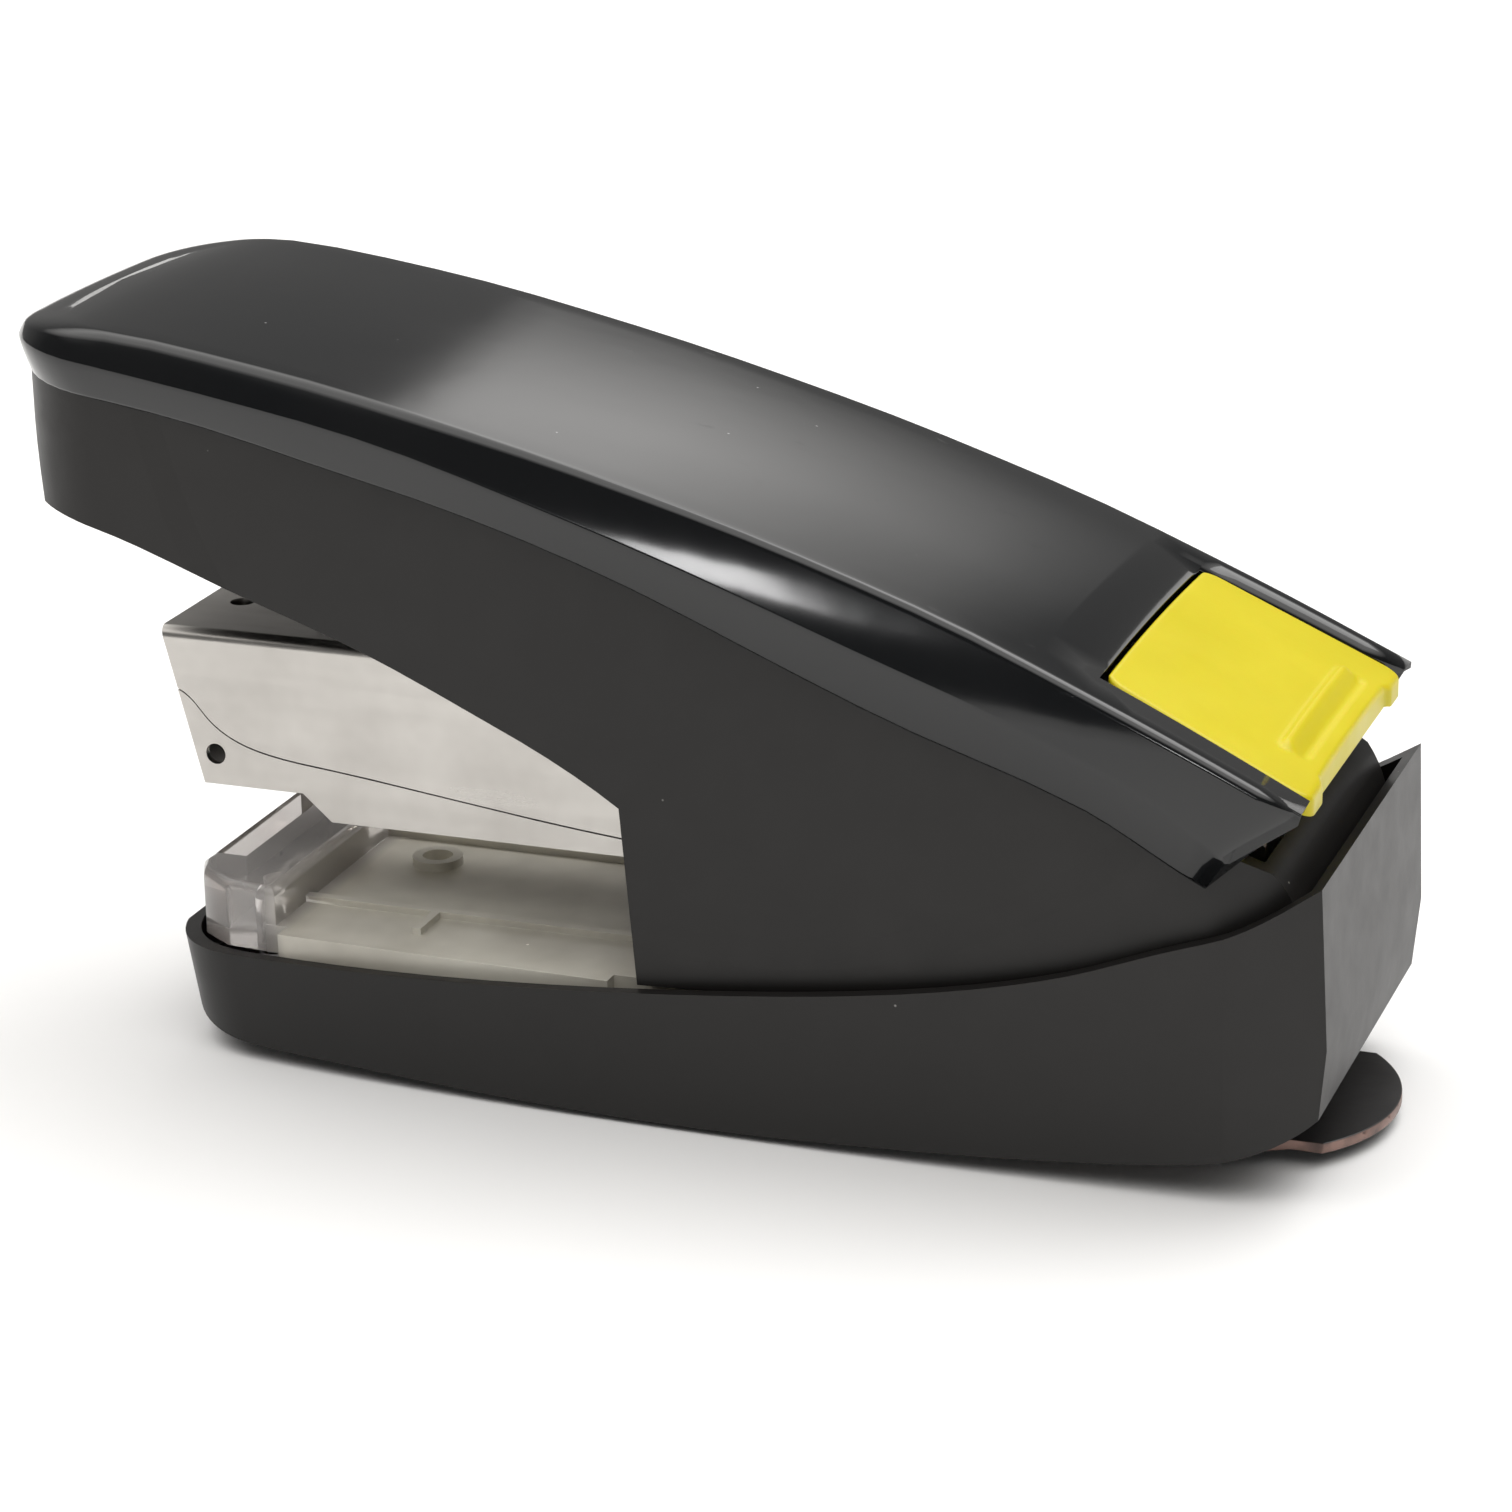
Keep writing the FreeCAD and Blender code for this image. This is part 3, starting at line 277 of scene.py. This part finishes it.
def clear_plastic():
    """Clear at the raised block round the clincher, cloudy and worn behind it."""
    m = Finish("clear_plastic")
    m.set(IOR=1.45)
    x = m.parts_of(m.place)[0]
    cloudy = m.ramp(x, at(-91.0, 0.0, 0.0).x, at(-88.0, 0.0, 0.0).x)
    cloud = m.noise(90.0, 3.0)
    clear = m.mix(m.ramp(cloud, 0.3, 0.7), (0.86, 0.83, 0.81), (0.72, 0.68, 0.66))
    milky = m.mix(m.ramp(cloud, 0.35, 0.65), (0.66, 0.625, 0.545), (0.88, 0.85, 0.75))
    m.colour(m.mix(cloudy, clear, milky))
    m.link(m.ramp(cloudy, 0.0, 1.0, 0.78, 0.3), m.shader.inputs["Transmission Weight"])
    wear = m.ramp(m.noise(140.0, 4.0), 0.35, 0.75, 0.05, 0.14)
    m.rough(m.maths("ADD", wear, m.maths("MULTIPLY", cloudy, 0.14)))
    m.bump((m.noise(70.0, 2.0), 0.0001), (m.noise(900.0, 2.0), 0.000006))
    return m.material


def foot_rubber():
    m = Finish("foot_rubber")
    m.colour(m.mix(m.ramp(m.noise(300.0, 3.0), 0.3, 0.7), (0.018, 0.018, 0.018), (0.035, 0.034, 0.033)))
    m.rough(m.ramp(m.noise(500.0, 2.0), 0.3, 0.7, 0.7, 0.9))
    m.bump((m.noise(1500.0, 2.0), 0.00004))
    return m.material


def floor_paper():
    m = Finish("floor_paper")
    m.colour(m.mix(m.ramp(m.noise(2.0, 2.0), 0.3, 0.7), (0.86, 0.86, 0.86), (0.9, 0.9, 0.895)))
    m.rough(m.ramp(m.noise(40.0, 2.0), 0.3, 0.7, 0.75, 0.9))
    return m.material


FINISHES = {
    "black_gloss": gloss_black(),
    "black_satin": satin_black("satin_black"),
    "black_satin_inner": satin_black("satin_black_inner"),
    "yellow": yellow_plastic(),
    "chrome": bright_nickel(),
    "clear_plastic": clear_plastic(),
    "rubber": foot_rubber(),
    "steel_black": enamelled_plate(),
    "steel_zinc": plated_steel("zinc_plate", (0.60, 0.60, 0.61), (0.46, 0.46, 0.48), 0.28),
    "steel_hard": plated_steel("hardened_steel", (0.50, 0.42, 0.38), (0.36, 0.31, 0.29), 0.25),
    "spring_wire": plated_steel("spring_wire", (0.52, 0.52, 0.53), (0.38, 0.38, 0.4), 0.25),
    "staple_steel": plated_steel("staple_wire", (0.72, 0.72, 0.74), (0.6, 0.6, 0.62), 0.2),
}
HANDLE_SATIN = satin_black("satin_black_handle", fold=True)
SLOT_OF = {entry["node"]: entry["material_slot"] for entry in frame["record"]["subparts"]}
BODY_OF = {node: body for body, nodes in frame["record"]["behaviour"]["bodies"].items() for node in nodes}


def dress(thing, material):
    thing.data.materials.clear()
    thing.data.materials.append(material)


def dress_frame():
    """Gives every CAD node the finish of its slot."""
    for name, thing in frame["nodes"].items():
        dress(thing, FINISHES[SLOT_OF[name]])


# ---------------------------------------------------------------- pieces

def add_piece(name, mesh, body, material, *nodes):
    """Puts a mesh in the scene as a piece that rides on a body and stands for CAD nodes."""
    piece = bpy.data.objects.new(name, mesh)
    bpy.context.scene.collection.objects.link(piece)
    dress(piece, material)
    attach(piece, body)
    if nodes:
        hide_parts(*nodes)
    return piece


def soften(piece, width, segments=3, angle=32.0):
    """Rounds a piece's hard edges and keeps the shading of its flat faces even."""
    bevel = piece.modifiers.new("edges", "BEVEL")
    bevel.width = width * MM
    bevel.segments = segments
    bevel.limit_method = "ANGLE"
    bevel.angle_limit = math.radians(angle)
    bevel.use_clamp_overlap = True
    shade = piece.modifiers.new("shading", "WEIGHTED_NORMAL")
    shade.weight = 60
    shade.keep_sharp = False


def fold_edges(work, lowest, radius):
    """Rounds a sheet's long outer edges above a height, where it was folded."""
    widest = max(abs(vertex.co.y) for vertex in work.verts)
    folds = []
    for edge in work.edges:
        outer = all(v.co.z > lowest * MM and abs(v.co.y) > widest - 0.03 * MM for v in edge.verts)
        long_corner = edge.calc_length() > 3.0 * MM and edge.calc_face_angle(0.0) > 1.0
        if outer and long_corner:
            folds.append(edge)
    bmesh.ops.bevel(work, geom=folds, offset=radius * MM, segments=4, profile=0.5, affect="EDGES")


def finished(node, edge, material=None, fold=None):
    """A welded copy of a CAD node with rounded edges, in place of the node."""
    mesh = frame["nodes"][node].data.copy()
    for layer in [a.name for a in mesh.attributes if a.name in ("custom_normal", "sharp_edge", "sharp_face")]:
        mesh.attributes.remove(mesh.attributes[layer])
    work = bmesh.new()
    work.from_mesh(mesh)
    bmesh.ops.remove_doubles(work, verts=work.verts, dist=0.004 * MM)
    bmesh.ops.dissolve_limit(work, angle_limit=math.radians(0.6), verts=work.verts, edges=work.edges)
    if fold:
        fold_edges(work, *fold)
    for face in work.faces:
        face.smooth = True
    work.to_mesh(mesh)
    work.free()
    piece = add_piece(f"{node}_finished", mesh, BODY_OF[node], material or FINISHES[SLOT_OF[node]], node)
    soften(piece, edge)
    return piece


def rounded_corner(before, corner, after, radius, steps):
    """Points of a smooth turn from one side of a corner to the other."""
    start = corner + (before - corner).normalized() * min(radius, (before - corner).length * 0.48)
    end = corner + (after - corner).normalized() * min(radius, (after - corner).length * 0.48)
    points = []
    for k in range(steps + 1):
        t = k / steps
        points.append(start * (1 - t) ** 2 + corner * 2 * t * (1 - t) + end * t * t)
    return points


def smooth_mesh(work, name):
    """A mesh with outward, smooth faces from the work in hand."""
    bmesh.ops.recalc_face_normals(work, faces=work.faces)
    for face in work.faces:
        face.smooth = True
    mesh = bpy.data.meshes.new(name)
    work.to_mesh(mesh)
    work.free()
    return mesh


# ---------------------------------------------------------------- top cover

TOP_HEIGHT = curve_through([(-113, 61.6), (-108, 62.35), (-103, 62.6), (-98, 62.3), (-91, 61.35),
                            (-81.7, 59.8), (-72.5, 57.85), (-63.3, 55.7), (-54.2, 53.3), (-45.3, 50.75),
                            (-36.5, 47.9), (-27.9, 44.85), (-19.6, 41.4), (-11, 37.65), (-2.4, 33.65),
                            (1, 32.05)])
TOP_HALF = curve_through([(-113, 16.8), (-103, 17.4), (-86, 18.0), (-50, 18.35), (-34, 18.55), (-20, 19.05),
                          (-8, 19.4), (1, 19.6)])
RIDGE_HEIGHT = curve_through([(-113, 60.9), (-100, 59.7), (-82.5, 57.0), (-73.8, 55.0), (-65.5, 52.5),
                              (-55.5, 49.3), (-48.8, 47.0), (-37.1, 42.7), (-21.3, 36.9), (-11.7, 32.6),
                              (-6.8, 28.8), (1, 23.8)])
RIDGE_HALF = curve_through([(-113, 17.9), (-103, 18.6), (-86, 19.3), (-50, 19.6), (-20, 19.85), (1, 19.9)])
LOW_HEIGHT = curve_through([(-113, 57.9), (-102.4, 57.0), (-91.9, 55.4), (-83.2, 53.4), (-69.2, 50.0),
                            (-56, 45.7), (-41.2, 39.6), (-33.1, 36.4), (-18.6, 31.4), (-9.3, 26.4),
                            (1, 22.0)])
LOW_HALF = curve_through([(-113, 17.2), (-103, 17.9), (-86, 18.45), (-50, 18.6), (-20, 18.8), (1, 19.1)])
CUT_FRONT = -18.15


def belly_half(x):
    """Half-width of the cover part-way between its top edge and its ridge."""
    return 0.4 * TOP_HALF(x) + 0.6 * RIDGE_HALF(x)


def cut_half(x):
    """Half-width of the cut-out that the button fills."""
    return 15.2 + 0.0725 * max(x + 17.9, 0.0)


def u_outline(half, nose_x, radius, rear_x, fronts=9, turns=9):
    """Half of a U-shaped plan outline: from the rear along one side and round to the middle of the nose."""
    corner_x = nose_x + radius
    stops = [rear_x + (CUT_FRONT - rear_x) * k / 5 for k in range(6)]
    stops += [CUT_FRONT - 4.6 * k for k in range(1, 18)]
    stops.append(-100.5)
    points = [(x, half(x)) for x in stops]
    side = half(corner_x)
    centre = side - radius
    for k in range(turns + 1):
        turn = math.pi / 2 * k / turns
        points.append((corner_x - radius * math.sin(turn), centre + radius * math.cos(turn)))
    for k in range(1, fronts + 1):
        y = centre * (1 - k / fronts)
        points.append((nose_x - 0.35 * (1 - (y / centre) ** 2), y))
    return points


NOSE_TURN = -102.6  # where the top edge starts to turn round the nose
NOSE_CORNER = 8.6
NOSE_INSET = 7.0  # keeps the rounding inside the corner's own radius
ROUNDING_START = -100.0
ROUNDING_LENGTH = 9.0
COVER_WALL = 1.1


def toward_middle(x, y):
    """The level direction from a point of the top edge into the top."""
    if x >= NOSE_TURN:
        return Vector((0, -1, 0))
    centre = TOP_HALF(NOSE_TURN) - NOSE_CORNER
    inward = Vector((NOSE_TURN - x, centre - y, 0))
    if y < centre:
        inward.y = 0
    return inward.normalized()


def cover_station(top, belly, ridge, low):
    """One section of the cover's side, from the top face over the ridge and the lip to the inner wall."""
    share = min(max((ROUNDING_START - top[0]) / ROUNDING_LENGTH, 0.0), 1.0)
    radius = 0.75 + 3.4 * share ** 1.5
    edge = Vector((*top, TOP_HEIGHT(top[0])))
    middle = Vector((*belly, 0.4 * TOP_HEIGHT(belly[0]) + 0.6 * RIDGE_HEIGHT(belly[0])))
    crease = Vector((*ridge, RIDGE_HEIGHT(ridge[0])))
    lip = Vector((*low, LOW_HEIGHT(low[0])))
    inward = toward_middle(*top)
    inner_top = edge + inward * min(radius * 2.2, NOSE_INSET)
    inner_top.z = TOP_HEIGHT(inner_top.x)
    under = lip + inward * 1.3 + Vector((0, 0, 0.1))
    points = rounded_corner(inner_top, edge, middle, radius, 6)
    points += rounded_corner(middle, crease, lip, 0.35 + 1.4 * share, 4)
    points += rounded_corner(crease, lip, under, 0.45, 3)
    return points + [under, under + Vector((0, 0, 1.6))]


def cover_top(work, stations, sides):
    """The crowned top face between the two sides, open where the button sits."""
    rows = []
    for k, station in enumerate(stations):
        first = station[0]
        crown = 0.2 + 0.4 * min(max((first.x + 90.0) / 60.0, 0.0), 1.0)
        row = [sides[-1][k][0]]
        reach = min(cut_half(first.x) / first.y, 0.95) if first.y > 0.1 else 0.8
        for share in (reach * j / 5 for j in range(-5, 6)):
            row.append(work.verts.new(at(first.x, first.y * share, first.z + crown * (1 - share * share))))
        row.append(sides[1][k][0])
        rows.append((first.x, row))
    for (x, near), (_, far) in zip(rows, rows[1:]):
        open_here = x > CUT_FRONT + 0.01
        for j, corners in enumerate(zip(near, near[1:], far[1:], far)):
            if not (open_here and 1 <= j <= 10):
                work.faces.new(corners)


def make_cover():
    """The glossy cover, built from stations that run round its U-shaped outline."""
    top = u_outline(TOP_HALF, nose_x=NOSE_TURN - NOSE_CORNER, radius=NOSE_CORNER, rear_x=-1.3)
    belly = u_outline(belly_half, nose_x=-111.55, radius=9.0, rear_x=-1.95)
    ridge = u_outline(RIDGE_HALF, nose_x=-111.75, radius=9.2, rear_x=-6.9)
    low = u_outline(LOW_HALF, nose_x=-110.75, radius=8.8, rear_x=-8.7)
    stations = [cover_station(*points) for points in zip(top, belly, ridge, low)]
    work = bmesh.new()
    sides = {}
    for mirror in (1, -1):
        sides[mirror] = [[work.verts.new(at(p.x, p.y * mirror, p.z)) for p in station]
                         for station in stations]
        for near, far in zip(sides[mirror], sides[mirror][1:]):
            for a, b, c, d in zip(near, far, far[1:], near[1:]):
                work.faces.new((a, b, c, d) if mirror > 0 else (d, c, b, a))
    for mirror in (1, -1):
        work.faces.new(sides[mirror][0])
    cover_top(work, stations, sides)
    bmesh.ops.remove_doubles(work, verts=work.verts, dist=0.02 * MM)
    loose = [v for v in work.verts if not v.link_faces]
    bmesh.ops.delete(work, geom=loose, context="VERTS")
    mesh = smooth_mesh(work, "cover")
    piece = add_piece("glossy_cover", mesh, "handle", FINISHES["black_gloss"], "handle_cover")
    thickness = piece.modifiers.new("wall", "SOLIDIFY")
    thickness.thickness = COVER_WALL * MM
    thickness.offset = -1.0
    thickness.use_even_offset = False


# ---------------------------------------------------------------- release button

BUTTON_FRONT, BUTTON_REAR = -17.9, -1.35
BUTTON_EDGE = 0.5
BUTTON_CORNER = 1.5
BUTTON_FRONT_HALF = 14.85
BUTTON_FLARE = 1.2  # how much wider each side is at the rear
BUTTON_TOP = 40.85  # at the front, as is the underside
BUTTON_UNDERSIDE = 39.3
BUTTON_SLOPE = 0.47


def button_height(x, y):
    """The button's sloping top with its thumb rib and the shallow valley behind the rib, in mm."""
    height = BUTTON_TOP + (BUTTON_FRONT - x) * BUTTON_SLOPE + 0.45 * (1 - (y / 16.0) ** 2)
    for centre, half_length, reach, rise in ((-4.7, 9.4, 0.85, 0.5), (-3.45, 9.4, 0.65, -0.3)):
        away = math.hypot(x - centre, max(abs(y) - half_length, 0.0))
        if away < reach:
            height += rise * math.cos(math.pi / 2 * away / reach) ** 2
    return height


def inward_steps(length, count):
    """Distances from one end of a line to the other, close together at both rounded ends."""
    close = [BUTTON_EDGE * (1 - math.cos(math.pi / 12 * k)) for k in range(7)]
    close += [BUTTON_EDGE * 1.6, BUTTON_EDGE * 2.4]
    middle = [close[-1] + (length - 2 * close[-1]) * k / count for k in range(1, count)]
    return close + middle + [length - step for step in close[::-1]]


def ring_of(rows):
    """The outer loop of a grid of vertices."""
    right = [row[-1] for row in rows[1:]]
    left = [row[0] for row in rows[-2:0:-1]]
    return rows[0] + right + rows[-1][-2::-1] + left


def add_prism(work, outline, start, end):
    """A block with a side outline of (x, z) points between two y values."""
    walls = [[work.verts.new(at(x, y, z)) for x, z in outline] for y in (start, end)]
    for k in range(len(outline)):
        work.faces.new((walls[0][k - 1], walls[0][k], walls[1][k], walls[1][k - 1]))
    work.faces.new(walls[0])
    work.faces.new(walls[1][::-1])


def button_slab(work):
    """The button's slab: a grid for the top and one for the underside, with walls between them."""
    length = BUTTON_REAR - BUTTON_FRONT
    top, bottom = [], []
    for step in inward_steps(length, 50):
        end = min(step, length - step)
        half = BUTTON_FRONT_HALF + BUTTON_FLARE * step / length
        if end < BUTTON_CORNER:
            half -= BUTTON_CORNER - math.sqrt(BUTTON_CORNER ** 2 - (BUTTON_CORNER - end) ** 2)
        top.append([])
        bottom.append([])
        for across in inward_steps(2 * half, 70):
            y = across - half
            recess = min(max((11.9 - abs(y)) / 0.7, 0.0), 1.0) * max(step / length - 0.9, 0.0) * 4.0
            x = BUTTON_FRONT + step - recess
            edge = min(end, across, 2 * half - across)
            drop = 0.0
            if edge < BUTTON_EDGE:
                drop = BUTTON_EDGE - math.sqrt(BUTTON_EDGE ** 2 - (BUTTON_EDGE - edge) ** 2)
            top[-1].append(work.verts.new(at(x, y, button_height(x, y) - drop)))
            bottom[-1].append(work.verts.new(at(x, y, BUTTON_UNDERSIDE + (BUTTON_FRONT - x) * BUTTON_SLOPE)))
    for near, far in zip(top, top[1:]):
        for a, b, c, d in zip(near, far, far[1:], near[1:]):
            work.faces.new((a, b, c, d))
    for near, far in zip(bottom, bottom[1:]):
        for a, b, c, d in zip(near, far, far[1:], near[1:]):
            work.faces.new((d, c, b, a))
    upper, lower = ring_of(top), ring_of(bottom)
    for k in range(len(upper)):
        work.faces.new((upper[k - 1], upper[k], lower[k], lower[k - 1]))


def make_button():
    """The yellow button: a slab with round corners and edges, two lugs on the pin and a leg."""
    work = bmesh.new()
    button_slab(work)
    lug = [(-17.6, 39.4), (-17.6, 31.6), (-16.6, 30.8), (-15.4, 30.8), (-14.2, 31.6), (-14.2, 37.8)]
    leg = [(-8.8, 35.4), (-8.4, 28.5), (-7.8, 28.5), (-7.2, 34.7)]
    add_prism(work, lug, -6.0, -4.2)
    add_prism(work, lug, 4.2, 6.0)
    add_prism(work, leg, -4.0, 4.0)
    mesh = smooth_mesh(work, "button")
    piece = add_piece("rounded_button", mesh, BODY_OF["release_button"], FINISHES["yellow"], "release_button")
    soften(piece, 0.12, 2, 50.0)


# ---------------------------------------------------------------- springs

def coil(name, node, starts, axis, length, radius, wire, turns):
    """Coils of round wire with closed ends, in place of a CAD node of springs."""
    path = bpy.data.curves.new(name, "CURVE")
    path.dimensions = "3D"
    path.bevel_depth = wire / 2 * MM
    path.bevel_resolution = 4
    path.use_fill_caps = True
    side = Vector((0, 0, 1)).cross(axis) if abs(axis.z) < 0.5 else Vector((1, 0, 0))
    up = axis.cross(side)
    steps = turns * 24
    for start in starts:
        line = path.splines.new("POLY")
        line.points.add(steps)
        for k in range(steps + 1):
            turn = 2 * math.pi * k / 24
            share = k / steps
            eased = min(max((share - 0.08) / 0.84, 0.0), 1.0)
            height = wire / 2 + (length - wire) * (0.04 * share + 0.96 * eased)
            point = start + (side * math.cos(turn) + up * math.sin(turn)) * radius * MM + axis * height * MM
            line.points[k].co = (*point, 1.0)
    drawn = bpy.data.objects.new(name, path)
    bpy.context.scene.collection.objects.link(drawn)
    bpy.context.view_layer.update()
    mesh = bpy.data.meshes.new_from_object(drawn)
    bpy.data.objects.remove(drawn)
    for polygon in mesh.polygons:
        polygon.use_smooth = True
    return add_piece(name, mesh, BODY_OF[node], FINISHES["spring_wire"], node)


def make_springs():
    """The springs, which in the stapler shorten as its joints move: here fixed coils and a leaf, each riding
    on the body of its CAD node.
    """
    up = Vector((0, 0, 1))
    rearward = Vector((1, 0, 0))
    seat = at(-33, 0, 3.4)
    lift = coil("return_coil", "return_spring", [seat], up, length=13.6, radius=4.0, wire=0.9, turns=6)
    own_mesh(lift)
    feed = coil("pusher_coil", "pusher_spring", [at(-64.8, 0, 22.4)], rearward,
                length=17.9, radius=1.5, wire=0.35, turns=13)
    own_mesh(feed)
    seats = [at(x, y, 2.2) for x, y in ((-91.2, -10.6), (-91.2, 10.6), (-50.0, -11.0), (-50.0, 11.0))]
    cushion = coil("table_coils", "table_springs", seats, up, length=6.7, radius=1.8, wire=0.4, turns=6)
    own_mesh(cushion)
    leaf = finished("handle_spring", 0.08)
    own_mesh(leaf)


# ---------------------------------------------------------------- stage

def area_light(name, place, target, size, power):
    """A rectangular lamp that faces a target."""
    data = bpy.data.lights.new(name, "AREA")
    data.shape = "RECTANGLE"
    data.size, data.size_y = size
    data.energy = power
    lamp = bpy.data.objects.new(name, data)
    lamp.location = place
    lamp.rotation_mode = "QUATERNION"
    lamp.rotation_quaternion = (Vector(target) - Vector(place)).to_track_quat("-Z", "Y")
    bpy.context.scene.collection.objects.link(lamp)


def make_world():
    """A dim studio with a bright ceiling, and one soft window on the stapler's far side. The light depends on
    the direction alone: z is its height, y is its side and x / y is how far along the far side it is."""
    world = bpy.data.worlds.new("studio")
    world.use_nodes = True
    bpy.context.scene.world = world
    sky = Nodes(world.node_tree, "Generated")
    back = world.node_tree.nodes["Background"]
    x, y, z = sky.parts_of(sky.place)
    ceiling = sky.ramp(z, 0.52, 0.8, 0.0, 2.0)
    slant = sky.maths("DIVIDE", x, sky.maths("MAXIMUM", y, 0.05))
    window = sky.maths("MULTIPLY", sky.ramp(slant, -0.31, -0.285), sky.ramp(slant, 0.06, -0.2))
    window = sky.maths("MULTIPLY", window, sky.ramp(z, 0.30, 0.44))
    window = sky.maths("MULTIPLY", window, sky.ramp(y, 0.3, 0.5, 0.0, 1.5))
    walls = sky.ramp(y, -0.2, 0.2, 0.10, 0.22)
    total = sky.maths("ADD", sky.maths("ADD", ceiling, window), walls)
    back.inputs["Color"].default_value = (1.0, 0.985, 0.965, 1.0)
    sky.link(total, back.inputs["Strength"])


def make_stage():
    """A pale floor, the studio's light, and two small lamps for the glints along the cover's strip."""
    work = bmesh.new()
    bmesh.ops.create_grid(work, x_segments=8, y_segments=8, size=3.0)
    mesh = bpy.data.meshes.new("floor")
    work.to_mesh(mesh)
    work.free()
    floor = bpy.data.objects.new("floor", mesh)
    bpy.context.scene.collection.objects.link(floor)
    dress(floor, floor_paper())
    bpy.context.scene.view_settings.view_transform = "Standard"
    make_world()
    centre = (0.0, 0.0, 0.03)
    area_light("key", (0.35, 0.45, 1.0), centre, (0.7, 0.7), 3.5)
    area_light("lamp_front", (-0.18, -0.875, 0.19), (-0.02, 0.0, 0.055), (0.05, 0.06), 0.16)
    area_light("lamp_rear", (0.002, -0.90, 0.187), (0.037, 0.0, 0.037), (0.035, 0.05), 0.10)


def make_camera():
    """Looks at the stapler's left side, from a little behind its middle and above it."""
    aim = Vector((0.0030, -0.0007, 0.0261))
    azimuth = math.radians(20.54)
    elevation = math.radians(19.55)
    distance = 0.3638
    roll = math.radians(-0.93)
    back = Vector((math.sin(azimuth) * math.cos(elevation), -math.cos(azimuth) * math.cos(elevation),
                   math.sin(elevation)))
    data = bpy.data.cameras.new("camera")
    data.sensor_width = 36.0
    data.lens = 104.8
    data.clip_start = 0.01
    camera = bpy.data.objects.new("camera", data)
    camera.location = aim + back * distance
    camera.rotation_mode = "QUATERNION"
    camera.rotation_quaternion = (-back).to_track_quat("-Z", "Y") @ Quaternion((0, 0, 1), roll)
    bpy.context.scene.collection.objects.link(camera)
    bpy.context.scene.camera = camera


# ---------------------------------------------------------------- the stapler

dress_frame()
make_cover()
finished("handle_body", 0.3, HANDLE_SATIN)
finished("base_shell", 0.6)
finished("base_plate", 0.12)
finished("clear_table", 0.35)
finished("magazine_housing", 0.06, fold=(33.0, 0.8))
finished("staple_tray", 0.06)
make_button()
make_springs()
make_stage()
make_camera()
